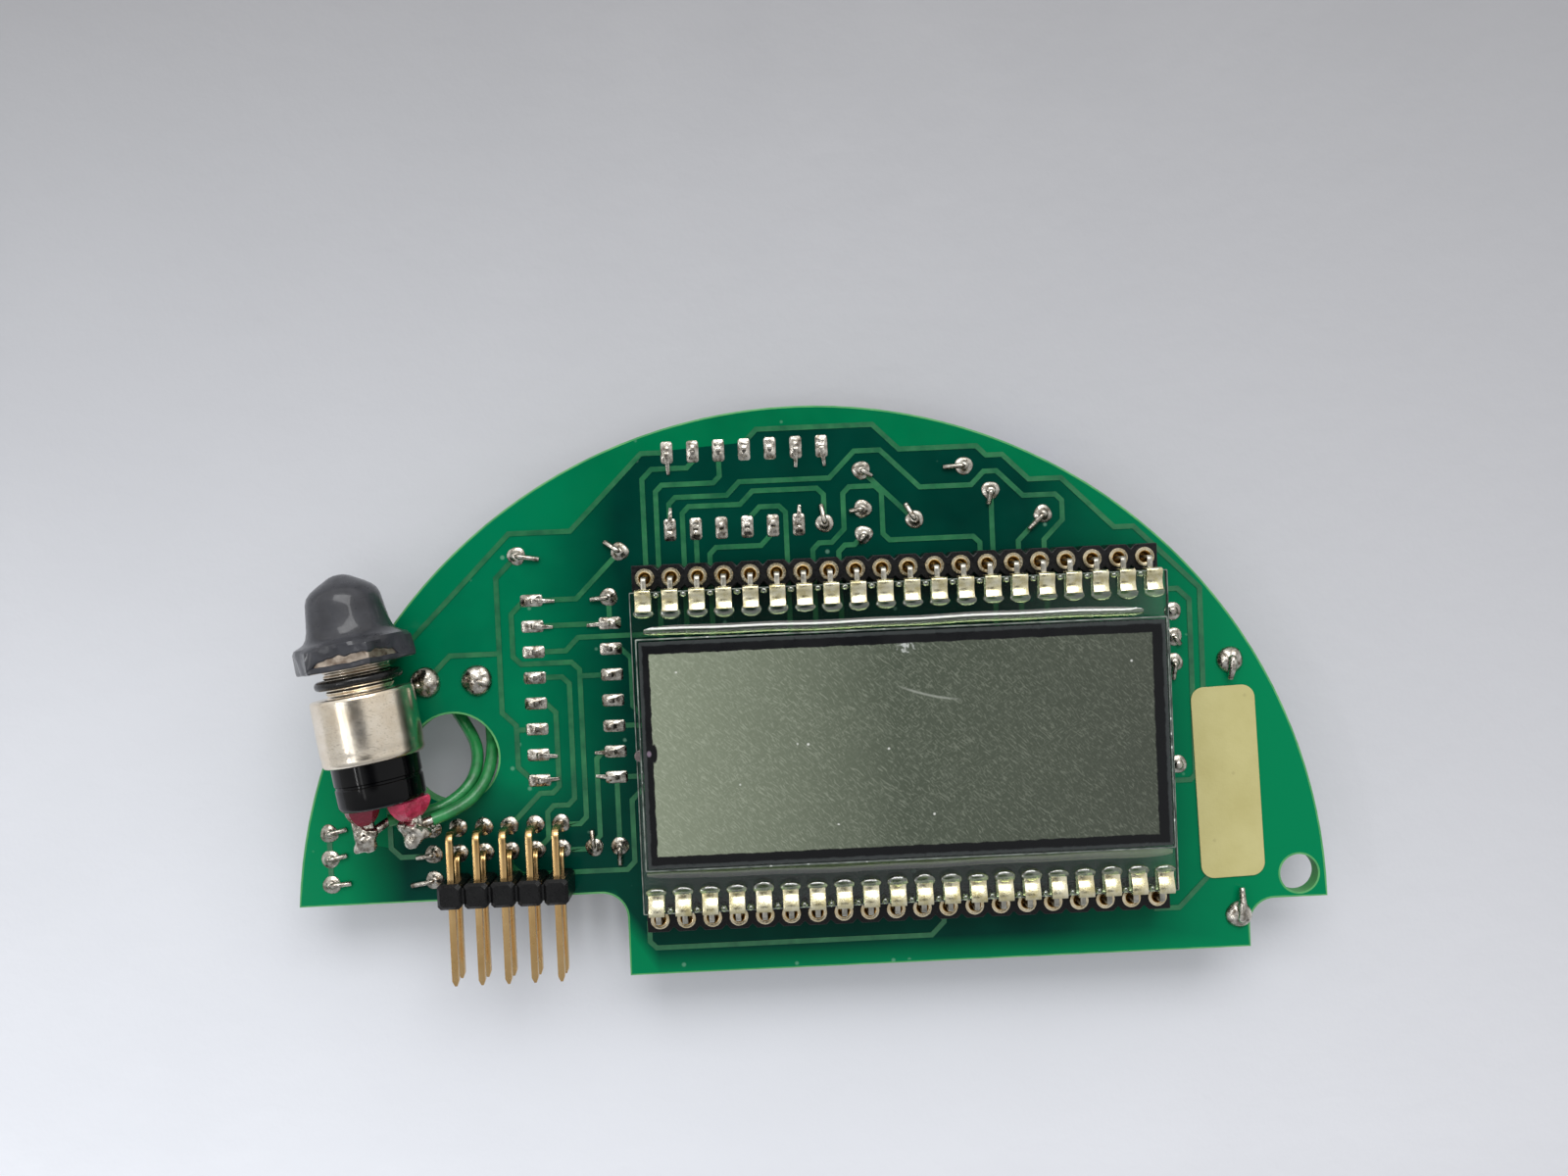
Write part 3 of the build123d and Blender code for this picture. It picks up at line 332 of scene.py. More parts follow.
def lacquer(name, dark, light):
    """Green mask over laminate: patches of two greens, a few pale specks, and the brighter zones
    and margin given above."""
    made, tree, shader, place, colour = finish(name, dark, light, 9.0, (0.1, 0.18),
                                               grain=(0.002, 0.6),
                                               Specular_IOR_Level=0.075)
    spot = add(tree, "SeparateXYZ", {0: place})
    across, along = spot.outputs["X"], spot.outputs["Y"]
    left = joined(tree, "MULTIPLY", over_mm(tree, across, *LEFT_ZONE_X),
                  over_mm(tree, along, *LEFT_ZONE_Y))
    thin = joined(tree, "MAXIMUM", left, over_mm(tree, across, *RIGHT_ZONE_X))
    clouded = scaled(tree, patches(tree, place, 6.0), 0, 1, 0.75, 1.0)
    thin = joined(tree, "MULTIPLY", thin, clouded)
    colour = between(tree, thin, colour, shade(0, 107, 71))
    lowered = joined(tree, "ADD", along, over_mm(tree, across, *STEP_X, 0, LEFT_STEP * MM))
    bright = over_mm(tree, lowered, *EDGE_Y)
    for ends in (LEFT_EDGE_X, RIGHT_EDGE_X):
        bright = joined(tree, "MAXIMUM", bright, over_mm(tree, across, *ends))
    colour = between(tree, scaled(tree, bright, 0, 1, 0, 0.95), colour, shade(0, 118, 74))
    dust = shared(tree, specks, place, 0.8, 0.015)
    colour = between(tree, scaled(tree, dust, 0, 1, 0, 0.3), colour, shade(140, 190, 165))
    tree.links.new(colour, shader.inputs["Base Color"])
    return made


mask = lacquer("green_solder_mask", (0, 44, 36), (0, 58, 46))
clear_mask = lacquer("mask_over_bare_laminate", (0, 93, 58), (0, 106, 66))


def box_of(node):
    """A CAD node's lowest and highest corners, in millimetres."""
    return [np.array(corner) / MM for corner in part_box(node)]


def welded(node):
    """A new mesh with a CAD node's shape, whose loose triangles are joined where they meet."""
    work = bmesh.new()
    work.from_mesh(frame["nodes"][node].data)
    bmesh.ops.remove_doubles(work, verts=work.verts, dist=2e-7)
    bmesh.ops.dissolve_limit(work, angle_limit=0.01, verts=work.verts, edges=work.edges)
    return work


def stand_up(name, mesh, material, slot, body, *nodes, sharp=35):
    """Puts a finished mesh in the scene as a piece: finish, body and what it replaces. slot is not
    used.
    """
    made = bpy.data.objects.new(name, mesh)
    bpy.context.collection.objects.link(made)
    if not mesh.materials:
        mesh.materials.append(material)
    mesh.shade_smooth()
    mesh.set_sharp_from_angle(angle=np.radians(sharp))
    if body:
        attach(made, body)
    if nodes:
        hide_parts(*nodes)
    return made


work = bmesh.new()
work.from_mesh(frame["nodes"]["circuit_board"].data)
bmesh.ops.remove_doubles(work, verts=work.verts, dist=2e-7)
for way in (1, -1):
    level = [face for face in work.faces if face.normal.z * way > 0.9]
    ring = bmesh.ops.inset_region(work, faces=level, thickness=MASK_SHORT * MM,
                                  use_even_offset=False,
                                  use_boundary=True)["faces"]
    for face in ring:
        face.material_index = 1
for face in work.faces:
    if abs(face.normal.z) < 0.9:
        face.material_index = 1
blank = bpy.data.meshes.new("board_blank")
work.to_mesh(blank)
work.free()
blank.materials.append(mask)
blank.materials.append(laminate)
stand_up("board_blank", blank, None, "laminate", "board", "circuit_board")

# ---- Margin of the board --------------------------------------------------------------------
# The mask looks a brighter green from the outermost tracks out to the edge, perhaps because no
# copper behind it stops the light there.


def piece(name, shapes, material, slot, body, *nodes, sharp=35, shades=None):
    """One piece from shapes in millimetres, with doubled points merged and faces turned out.
    shades gives each shape a number from 0 to 1, kept with its points as the attribute tint."""
    starts = np.cumsum([0] + [len(points) for points, _ in shapes])
    points = np.concatenate([points for points, _ in shapes]) * MM
    quads = np.concatenate([quads + start for (_, quads), start in zip(shapes, starts)])
    mesh = bpy.data.meshes.new(name)
    mesh.from_pydata(points, [], quads)
    if shades is not None:
        tint = mesh.attributes.new("tint", "FLOAT", "POINT")
        sizes = [len(points) for points, _ in shapes]
        tint.data.foreach_set("value", np.repeat(np.array(shades, np.float32), sizes))
    work = bmesh.new()
    work.from_mesh(mesh)
    bmesh.ops.remove_doubles(work, verts=work.verts, dist=1e-7)
    bmesh.ops.dissolve_degenerate(work, edges=work.edges, dist=1e-8)
    bmesh.ops.recalc_face_normals(work, faces=work.faces)
    work.to_mesh(mesh)
    work.free()
    return stand_up(name, mesh, material, slot, body, *nodes, sharp=sharp)


MARGIN_STEPS = 360
MARGIN_OVER, MARGIN_UNDER = 0.012, -0.02
ROUND_CENTRE = np.array([-48.3, -2.55])
OUTER_TRACKS = np.array([
    (-89.89, 6.67), (-89.89, 24.13), (-76.87, 37.15), (-70.84, 37.15), (-63.54, 44.45),
                         (-53.38, 45.1), (-52.11, 46.36),
    (-40.68, 46.36), (-38.14, 43.82), (-30.52, 43.82), (-29.57, 42.86), (-27.98, 42.86),
                         (-25.44, 40.32),
    (-22.27, 40.32), (-17.19, 35.24), (-15.28, 35.24), (-8.93, 28.89), (-8.93, 1.9)])
ROUND_RADIUS = highest[1] - ROUND_CENTRE[1] - MASK_SHORT
share = np.linspace(0, 1, 40)[None, :, None]
walk = (OUTER_TRACKS[:-1, None] * (1 - share) + OUTER_TRACKS[1:, None]
        * share).reshape(-1, 2) - ROUND_CENTRE
bearing = np.arctan2(walk[:, 1], walk[:, 0])
angle = np.linspace(bearing[0], bearing[-1], MARGIN_STEPS)
inner = np.interp(-angle, -bearing, np.hypot(*walk.T))
outer = np.full(MARGIN_STEPS, ROUND_RADIUS)
reach = np.stack([inner, inner, outer, outer])
reach = np.maximum(reach, inner[None] + 0.02)
level = np.array([MARGIN_UNDER, MARGIN_OVER, MARGIN_OVER, MARGIN_UNDER])[:, None] + 0 * angle
margin = np.stack([ROUND_CENTRE[0] + reach * np.cos(angle),
                   ROUND_CENTRE[1] + reach * np.sin(angle), level], -1)
closed_ends = np.concatenate([margin[:, :1] * 0 + margin[:, :1].mean(0), margin,
                              margin[:, -1:] * 0 + margin[:, -1:].mean(0)], axis=1)
piece("mask_margin", [surface(closed_ends, wrap_rows=True, wrap_columns=False)], clear_mask,
      "laminate", "board", sharp=20)


# ---- Copper tracks --------------------------------------------------------------------------
# Etched copper a few hundredths of a millimetre high, roller-tinned and lacquered over with the
# same green mask, so each track is a soft ridge of a lighter, yellower green.
track_mask, tree, shader, _, colour = finish(
    "mask_over_copper", (18, 84, 54), (40, 108, 68), 2.2, (0.14, 0.26), grain=(0.003, 0.25),
    Specular_IOR_Level=0.6)
# Painted shade: the sloping sides of each track are painted dark green, darkest where they are
# steepest.
facing = add(tree, "SeparateXYZ", {0: add(tree, "NewGeometry").outputs["Normal"]}).outputs["Z"]
painted_flank_shade = scaled(tree, facing, 0.5, 0.8, 1.0, 0.0)
tree.links.new(between(tree, painted_flank_shade, colour, shade(0, 36, 26)), shader.inputs["Base Color"])


def softened(name, node, edge, steps, material, slot, body, also=(), sharp=35):
    """A CAD node's own shape with its edges rounded by edge mm, as moulding or plating does."""
    work = welded(node)
    mesh = bpy.data.meshes.new(name)
    work.to_mesh(mesh)
    work.free()
    made = stand_up(name, mesh, material, slot, body, node, *also, sharp=sharp)
    rounding = made.modifiers.new("edges", "BEVEL")
    rounding.width = edge * MM
    rounding.segments = steps
    rounding.limit_method = "ANGLE"
    rounding.angle_limit = np.radians(30)
    rounding.harden_normals = False
    return made


# The lacquer thins towards each edge: the flat top keeps its height, and its rim is drawn down.
CROWN_WIDE, CROWN_DROP = 0.11, 0.05
work = welded("copper_tracks")
top = [face for face in work.faces if face.normal.z > 0.9]
rim = {vertex for face in top for vertex in face.verts}
bmesh.ops.inset_region(work, faces=top, thickness=CROWN_WIDE * MM, use_even_offset=False,
                       use_boundary=True)
inside = {vertex for face in top for vertex in face.verts}
bmesh.ops.translate(work, verts=list(rim - inside), vec=(0, 0, -CROWN_DROP * MM))
ridges = bpy.data.meshes.new("track_ridges")
work.to_mesh(ridges)
work.free()
stand_up("track_ridges", ridges, track_mask, "masked_copper", "board", "copper_tracks", sharp=60)

# ---- Solder on the two smaller circuits' pads -----------------------------------------------
# Tinned oblong pads, wave-soldered: each has a bright swelling over one half round the flat end
# of a leg. The legs at the corners were bent over before soldering to hold the circuits.
PAD_SIDES = 28
PAD_ACROSS, PAD_ALONG = 1.22, 2.25
PAD_RINGS = np.linspace(1, 0, 9)
random = np.random.default_rng(11)
solder, tree, shader, place, colour = finish(
    "bright_solder", (112, 103, 90), (230, 225, 214), 0.6, (0.14, 0.34), grain=(0.02, 0.4),
                                             Metallic=1.0)
pits = shared(tree, specks, place, 0.45, 0.12)
tree.links.new(between(tree, scaled(tree, pits, 0, 1, 0, 0.8), colour, shade(74, 64, 52)),
               shader.inputs["Base Color"])


def solids_of(node):
    """The lowest and highest corner in mm of each solid in a node, in order of x and then y.
    Each point takes the smallest number among those it shares a face with, over and over."""
    mesh = frame["nodes"][node].data
    points = np.empty(len(mesh.vertices) * 3, np.float32)
    mesh.vertices.foreach_get("co", points)
    points = points.reshape(-1, 3)
    corners = np.empty(len(mesh.loops), np.int32)
    mesh.loops.foreach_get("vertex_index", corners)
    _, same = np.unique(np.round(points * 1e6).astype(np.int64), axis=0, return_inverse=True)
    same = same.ravel()
    faces = same[corners].reshape(-1, 3)
    label = np.arange(same.max() + 1)
    settled = False
    while not settled:
        nearest = label.copy()
        np.minimum.at(nearest, faces.ravel(), np.repeat(label[faces].min(axis=1), 3))
        nearest = nearest[nearest]
        settled = bool((nearest == label).all())
        label = nearest
    owner = label[same]
    found = [(points[owner == k].min(0), points[owner == k].max(0)) for k in np.unique(owner)]
    boxes = np.array(found) / MM
    middle = boxes.mean(axis=1)
    return boxes[np.lexsort((middle[:, 1].round(2), middle[:, 0].round(2)))]


def oblong(width, height, corner, sides):
    """A rectangle with round corners as points: a circle moved out to four corner centres."""
    angle = (np.arange(sides) + 0.5) * 2 * np.pi / sides
    out = np.stack([np.sign(np.cos(angle)) * (width / 2 - corner),
                    np.sign(np.sin(angle)) * (height / 2 - corner)], -1)
    return out + corner * np.stack([np.cos(angle), np.sin(angle)], -1)


def placed(shape, at, turn=0.0):
    """A shape turned about Z and moved to a point."""
    points, quads = shape
    cosine, sine = np.cos(turn), np.sin(turn)
    spin = np.array([[cosine, sine, 0], [-sine, cosine, 0], [0, 0, 1]])
    return points @ spin + np.array(at), quads


def swept(section, path, side, sizes=None):
    """A flat section carried along a path. side is the direction of its first axis, and its
    second axis is square to that and to the path. sizes scales the section at each point."""
    path = np.array(path, float)
    ahead = np.gradient(path, axis=0)
    ahead /= np.linalg.norm(ahead, axis=1, keepdims=True)
    side = np.array(side, float)
    side = side - (ahead @ side)[:, None] * ahead
    side /= np.linalg.norm(side, axis=1, keepdims=True)
    up = np.cross(side, ahead)
    sizes = np.ones(len(path)) if sizes is None else np.array(sizes)
    spread = section[None, :, 0, None] * side[:, None] + section[None, :, 1, None] * up[:, None]
    rings = path[:, None] + sizes[:, None, None] * spread
    return surface(np.concatenate([path[None, :1].repeat(len(section), 1), rings,
                                   path[None, -1:].repeat(len(section), 1)]))


def rounded_path(corners, radius, steps=6):
    """A path through corners, each rounded by a curve that starts and ends radius from it."""
    corners = np.array(corners, float)
    before = corners[:-2] - corners[1:-1]
    after = corners[2:] - corners[1:-1]
    before *= radius / np.linalg.norm(before, axis=1, keepdims=True)
    after *= radius / np.linalg.norm(after, axis=1, keepdims=True)
    t = np.linspace(0, 1, steps)[None, :, None]
    bends = corners[1:-1, None] + (1 - t) ** 2 * before[:, None] + t ** 2 * after[:, None]
    return np.concatenate([corners[:1], bends.reshape(-1, 3), corners[-1:]])


def pad_solder(across, along, swell, height):
    """The solder on one pad: rings of an oblong drawn in to its middle, raised as one minus the
    fourth power of the way out, plus a round swelling at distance swell along the pad."""
    rings = oblong(across, along, 0.3, PAD_SIDES)[None] * PAD_RINGS[:, None, None]
    low = 0.10 * (1 - PAD_RINGS ** 4)[:, None]
    bump = height * np.exp(-((rings[..., 0] / 0.42) ** 2
                             + ((rings[..., 1] - swell) / 0.46) ** 2) ** 1.3)
    rise = (low + bump * (1 - PAD_RINGS ** 6)[:, None]) + 0.02
    rise[0] = -0.02
    return surface(np.concatenate([rings, rise[..., None]], -1))


pads = solids_of("pad_solder_joints")
middles = pads.mean(axis=1)
tall = (pads[:, 1, 1] - pads[:, 0, 1]) > (pads[:, 1, 0] - pads[:, 0, 0])
leg_end = oblong(0.52, 0.27, 0.06, 16)
shapes, ends = [], []
for middle, upright in zip(middles, tall):
    swell = random.choice([-1, 1]) * random.uniform(0.3, 0.5)
    pad = pad_solder(PAD_ACROSS, PAD_ALONG, swell, random.uniform(0.24, 0.34))
    angle = 0.0 if upright else np.pi / 2
    shapes.append(placed(pad, (middle[0], middle[1], 0.0), angle))
low_row = middles[tall][:, 1].min()
for middle, upright in zip(middles, tall):
    x, y = middle[:2]
    if upright:
        down = -1 if y > low_row + 3 else 1
        held = abs(x - middles[tall][:, 0].mean()) > 4.5
        way = np.array([random.uniform(-0.12, 0.12), down * 1.0])
        side = (1, 0, 0)
    else:
        right = 1 if x < middles[~tall][:, 0].mean() else -1
        held = abs(y - middles[~tall][:, 1].mean()) > 5.5
        way = np.array([right * 1.0, random.uniform(-0.12, 0.12)])
        side = (0, 1, 0)
    reach = random.uniform(1.9, 2.3) if held else 0.35
    top = 0.34 if held else 0.42
    path = rounded_path([(x, y, -0.1), (x, y, top),
                         (x + way[0] * reach, y + way[1] * reach, 0.17 if held else 0.40)],
                        0.22 if held else 0.1, 5)
    sizes = np.ones(len(path))
    sizes[-1] = 0.55
    (shapes if held else ends).append(swept(leg_end * (1.0 if held else 0.95), path, side, sizes))
piece("pad_joints", shapes, solder, "solder", "board", "pad_solder_joints", sharp=50)
dull_tin = finish("dull_leg_tin", (74, 70, 64), (150, 146, 138), 0.5, (0.25, 0.45),
                  grain=(0.01, 0.2), Metallic=1.0)[0]
piece("leg_ends", ends, dull_tin, "tinned_leg", "board", sharp=50)

# ---- Solder round the single leads ----------------------------------------------------------
# Small round joints: the solder climbs in a hollow cone round a lead that was pushed through,
# bent over flat towards one side, and cut off.
LEAD_ACROSS = 0.52
LEANS = [(2.04, 0.12), (1.77, 0.37), (1.86, 0.39), (-2.29, -0.40), (-1.67, -0.25), (0.9, 0.1),
         (2.30, -0.42), (-0.14, 1.76), (-0.03, -1.84), (-1.81, -0.15), (-1.48, 1.04), (-0.3, 1.9),
         (-0.40, -0.80), (-1.34, -0.21), (1.05, -0.65), (-0.89, 1.62), (-2.11, -0.07),
         (-0.30, -1.39),
         (-1.48, -1.48), (0, 0), (0, 0), (-0.21, -1.71), (0.62, -0.79), (0, 0)]


def lathe(profile, sides=24, wobble=0.0, phase=0.0):
    """A profile of (radius, height) points turned about Z, its radius swelling and shrinking by
    the share wobble three times round."""
    profile = np.array(profile, float)
    angle = np.arange(sides) * 2 * np.pi / sides
    radius = profile[:, 0, None] * (1 + wobble * np.cos(3 * angle + phase))
    height = profile[:, 1, None] + 0 * angle
    return surface(np.stack([radius * np.cos(angle), radius * np.sin(angle), height], -1))


def round_rod(width, sides=12):
    """A round section of the given width."""
    angle = np.arange(sides) * 2 * np.pi / sides
    return width / 2 * np.stack([np.cos(angle), np.sin(angle)], -1)


HILL = [(0.0, -0.02), (0.92, -0.02), (0.90, 0.03), (0.82, 0.09), (0.68, 0.14), (0.54, 0.21),
        (0.43, 0.32),
        (0.34, 0.42), (0.22, 0.47), (0.10, 0.49), (0.0, 0.495)]
joints = solids_of("round_solder_joints")
shapes = []
for (low, high), lean in zip(joints, LEANS):
    x, y = ((low + high) / 2)[:2]
    shapes.append(placed(lathe(HILL, 24, random.uniform(0.02, 0.07), random.uniform(0, 6)),
                         (x, y, 0.0)))
    reach = np.hypot(*lean)
    if reach:
        end = (x + lean[0], y + lean[1], 0.26)
        path = rounded_path([(x, y, 0.0), (x + lean[0] * 0.08, y + lean[1] * 0.08, 0.52), end],
                            0.24, 6)
        path = np.concatenate([path[:-1], path[-1:] + (path[-2:-1] - path[-1:]) * 0.10 / reach,
                               path[-1:]])
        sizes = np.ones(len(path))
        sizes[-1] = 0.72
        shapes.append(swept(round_rod(LEAD_ACROSS), path, (-lean[1], lean[0], 0), sizes))
piece("lead_joints", shapes, solder, "solder", "board", "round_solder_joints", sharp=50)

# ---- Large solder domes ---------------------------------------------------------------------
# Heaped by hand with an iron: two full domes over the switch wires, and two on the filter
# capacitor's leads, whose ends lie over the top.
DOME = np.array([(0.0, -0.02), (1.0, -0.02), (1.02, 0.05), (1.0, 0.12), (0.95, 0.22),
                 (0.86, 0.34), (0.74, 0.44),
                 (0.6, 0.52), (0.45, 0.58), (0.3, 0.62), (0.15, 0.64), (0.0, 0.645)])


def heap(radius, dents, phase):
    """A low dome of solder: a profile turned about Z, waved round its foot, with round dents that
    each take away a bell curve of the distance from their middle."""
    points, quads = lathe(DOME * radius, 48, 0.02, phase)
    x, y, z = points.T
    wave = np.sin(5 * np.arctan2(y, x) + phase)
    z = z + 0.035 * radius * wave * (z > 0) * np.hypot(x, y) / radius
    for bearing, out, wide, deep in dents:
        away = (x - out * np.cos(bearing)) ** 2 + (y - out * np.sin(bearing)) ** 2
        z = z - np.where(z > 0.1, deep * np.exp(-away / wide ** 2), 0)
    return np.stack([x, y, z], -1), quads


domes = solids_of("wire_solder_domes")
shapes = []
for (low, high), lean in zip(domes, [(0, 0), (0, 0), (0.21, 2.75), (-0.18, -1.81)]):
    x, y = ((low + high) / 2)[:2]
    radius = (high - low)[0] / 2
    depth = 0.3 if lean[1] else 1.0
    dents = [(random.uniform(0, 6.3), radius * random.uniform(0.25, 0.8),
              random.uniform(0.18, 0.4),
              depth * random.uniform(0.12, 0.28)) for _ in range(6)]
    shapes.append(placed(heap(radius, dents, random.uniform(0, 6)), (x, y, 0.0)))
    if lean[1]:
        peak = 0.66 * radius
        path = rounded_path([(x, y, 0.1), (x - lean[0] * 0.1, y - lean[1] * 0.12, peak + 0.15),
                             (x + lean[0] * 0.35, y + lean[1] * 0.35, peak + 0.22),
                             (x + lean[0], y + lean[1], 0.62)], 0.3, 6)
        sizes = np.ones(len(path))
        sizes[-1] = 0.7
        shapes.append(swept(round_rod(0.8, 16), path, (1, 0, 0), sizes))
piece("heaped_joints", shapes, solder, "solder", "board", "wire_solder_domes", sharp=50)

# ---- Label ----------------------------------------------------------------------------------
# A cream paper label with round corners, stuck on by hand a little askew over the tracks. It is
# blank, and a few specks of grime lie on it.
paper, tree, shader, place, colour = finish(
    "cream_label", (174, 166, 110), (184, 177, 123), 5.0, (0.34, 0.44), grain=(0.008, 0.4))
grime = shared(tree, specks, place, 0.7, 0.02)
tree.links.new(between(tree, scaled(tree, grime, 0, 1, 0, 0.4), colour, shade(150, 140, 95)),
               shader.inputs["Base Color"])
softened("stuck_label", "blank_label", 0.03, 2, paper, "label", "board")

# ---- Display socket strips ------------------------------------------------------------------
# Two black moulded strips of twenty cells, notched between the cells so that they snap apart.
# Each cell holds a turned, gold-plated contact whose tapered mouth takes one display leg.
black_nylon = finish(
    "black_moulding", (4, 4, 5), (12, 12, 13), 1.4, (0.22, 0.4), grain=(0.008, 0.2),
    Specular_IOR_Level=0.32)[0]
for side in ("upper", "lower"):
    softened(side + "_socket_cells", side + "_socket_strip", 0.08, 2, black_nylon, "black_nylon",
             "board")
gold = finish(
    "gold_plating", (212, 172, 112), (226, 190, 134), 2.6, (0.22, 0.28), grain=(0.0006, 0.6),
              Metallic=1.0)[0]
pale_gold = finish("pale_gold_plating", (220, 200, 158), (248, 236, 206), 0.6, (0.16, 0.3),
                   grain=(0.004, 0.2),
                   Metallic=1.0)[0]
COLLAR = [(0.0, 2.2), (0.46, 2.2), (0.54, 3.2), (0.60, 3.33), (0.65, 3.35), (0.88, 3.35),
          (0.915, 3.31), (0.915, 3.12),
          (0.60, 3.1), (0.60, 0.02), (0.30, -0.2), (0.30, -3.0), (0.24, -3.2), (0.0, -3.25)]
MOUTH = [(0.0, 2.0), (0.44, 2.1), (0.52, 3.14), (0.595, 3.32), (0.60, 3.34), (0.57, 3.34),
         (0.50, 3.26), (0.36, 3.04),
         (0.34, 2.3), (0.0, 2.25)]
# Painted shade: the mouth and bore of each contact are a darker gold, for the shade down in the
# hole.
bore_shade_gold = finish("gold_painted_shade", (120, 84, 34), (190, 146, 74), 0.4, (0.25, 0.4),
                  grain=(0.004, 0.2), Metallic=1.0)[0]
collars, mouths = [], []
for side in ("upper", "lower"):
    for low, high in solids_of(side + "_socket_contacts"):
        x, y = ((low + high) / 2)[:2]
        collars.append(placed(lathe(COLLAR, 24), (x, y, 0.0)))
        mouths.append(placed(lathe(MOUTH, 24), (x, y, 0.0)))
piece("turned_contacts", collars, pale_gold, "gold_plate", "board", "upper_socket_contacts",
      "lower_socket_contacts",
      sharp=40)
piece("contact_mouths", mouths, bore_shade_gold, "gold_plate", "board", sharp=50)

# ---- Display cell ---------------------------------------------------------------------------
# Two panes of clear float glass with a black glue frame between them, filled through a port in
# the left side. A grey-green polarising film covers the front pane, and foil backs the rear one.
glass = finish(
    "clear_glass", (214, 232, 222), (226, 240, 232), 8.0, (0.02, 0.06), Transmission_Weight=1.0,
               IOR=1.5)[0]
PANE_SIDES = 40


def pane(low, high, corner, arris, sides=PANE_SIDES):
    """A flat pane or block: an oblong outline carried up, with its two arrises taken off."""
    middle = (low + high) / 2
    width, height = (high - low)[:2]
    levels = [(arris, low[2]), (0, low[2] + arris), (0, high[2] - arris), (arris, high[2])]
    rings = np.stack([np.concatenate([oblong(width - 2 * inset, height - 2 * inset, corner,
                                             sides),
                                      np.full((sides, 1), z)], -1) for inset, z in levels])
    ends = [np.tile((0, 0, z), (1, sides, 1)) for z in (low[2], high[2])]
    points, quads = surface(np.concatenate([ends[0], rings, ends[1]]))
    return points + np.array([middle[0], middle[1], 0]), quads


piece("rear_pane", [pane(*box_of("display_rear_glass"), 0.12, 0.08)], glass, "cell_glass",
      "board", "display_rear_glass")
piece("front_pane", [pane(*box_of("display_front_glass"), 0.12, 0.08)], glass, "cell_glass",
      "board", "display_front_glass")

ground, tree, shader, place, colour = finish(
    "ground_glass_edge", (52, 62, 56), (132, 142, 134), 1.2, (0.4, 0.6), grain=(0.01, 0.15))
chips = shared(tree, specks, place, 0.5, 0.10)
tree.links.new(between(tree, chips, colour, shade(206, 212, 206)), shader.inputs["Base Color"])


def ground_edge(low, high, wide):
    """A thin closed band round a pane's upper arris: four oblong outlines joined in a ring."""
    middle = (low + high) / 2
    width, height = (high - low)[:2]
    levels = [(-0.004, high[2] - 0.12), (-0.004, high[2] - 0.03), (0.04, high[2] + 0.006),
              (wide, high[2] + 0.006),
              (wide, high[2] - 0.12)]
    rings = np.stack([np.concatenate([oblong(width - 2 * inset, height - 2 * inset, 0.12,
                                             PANE_SIDES),
                                      np.full((PANE_SIDES, 1), z)], -1) for inset, z in levels])
    points, quads = surface(rings, wrap_rows=True)
    return points + np.array([middle[0], middle[1], 0]), quads


piece("ground_edges", [ground_edge(*box_of("display_front_glass"), 0.12),
                       ground_edge(*box_of("display_rear_glass"), 0.09)],
      ground, "cell_glass", "board")

film, tree, shader, place, colour = finish(
    "polarising_film", (78, 86, 74), (92, 100, 86), 9.0, (0.2, 0.34), Specular_IOR_Level=0.25)
# Painted reflection and shade: the film is painted a light grey-green at its left end, darkening
# over the next 24 mm and a little more towards its right end. Scratches, rubs and grit are laid
# over that.
REFLECTION_FALLS = 24
film_low, film_high = box_of("front_polariser")
spot = add(tree, "SeparateXYZ", {0: place})
edges = [joined(tree, "SUBTRACT", spot.outputs[axis], film_low[k] * MM)
         for k, axis in enumerate("XY")]
edges += [joined(tree, "SUBTRACT", film_high[k] * MM, spot.outputs[axis])
          for k, axis in enumerate("XY")]


def nearest(tree, values):
    """The smallest of several values."""
    least = values[0]
    for value in values[1:]:
        least = joined(tree, "MINIMUM", least, value)
    return least


wider = [joined(tree, "SUBTRACT", edge, extra * MM)
         for edge, extra in zip(edges, (0.0, 0.2, 0.35, 0.2))]
ragged = joined(tree, "MULTIPLY", patches(tree, place, 0.9), 0.10 * MM)
inward = joined(tree, "SUBTRACT", nearest(tree, wider), ragged)
border = over_mm(tree, inward, 0.84, 0.94, 1.0, 0.0)


def oval(middle, half, soft):
    """1 inside an upright oval of a half width and height in mm, falling to 0 across its edge."""
    offset = add(tree, "VectorMath", {0: place, 1: (middle[0] * MM, middle[1] * MM, 0)},
                 operation="SUBTRACT").outputs[0]
    shrunk = add(tree, "VectorMath", {0: offset, 1: (1 / half[0] / MM, 1 / half[1] / MM, 0)},
                 operation="MULTIPLY").outputs[0]
    out = add(tree, "VectorMath", {0: shrunk}, operation="LENGTH").outputs["Value"]
    return scaled(tree, out, 1 + soft, 1 - soft)


border = joined(tree, "MAXIMUM", border, oval((-62.9, 15.9), (0.32, 0.9), 0.15))
outside = joined(tree, "SUBTRACT", nearest(tree, edges), ragged)
rim = over_mm(tree, outside, 0.20, 0.34, 1.0, 0.0)
reflection_fading = over_mm(tree, spot.outputs["X"], film_low[0], film_low[0] + REFLECTION_FALLS)
further_shade = over_mm(tree, spot.outputs["X"], film_low[0] + REFLECTION_FALLS, film_high[0])
painted_reflection = between(tree, reflection_fading, shade(128, 136, 116), shade(66, 73, 61))
painted_reflection = between(tree, further_shade, painted_reflection, shade(58, 62, 54))
painted_reflection = between(tree, 0.15, painted_reflection, colour)
marks = [shared(tree, scratches, place, way, size)
         for way, size in ((1.05, 0.10), (0.7, 0.12), (-0.6, 0.11))]
scored = joined(tree, "MAXIMUM", marks[0], marks[1])
thin = joined(tree, "MULTIPLY", marks[2], patches(tree, place, 5.0))
scored = joined(tree, "MAXIMUM", scored, thin)
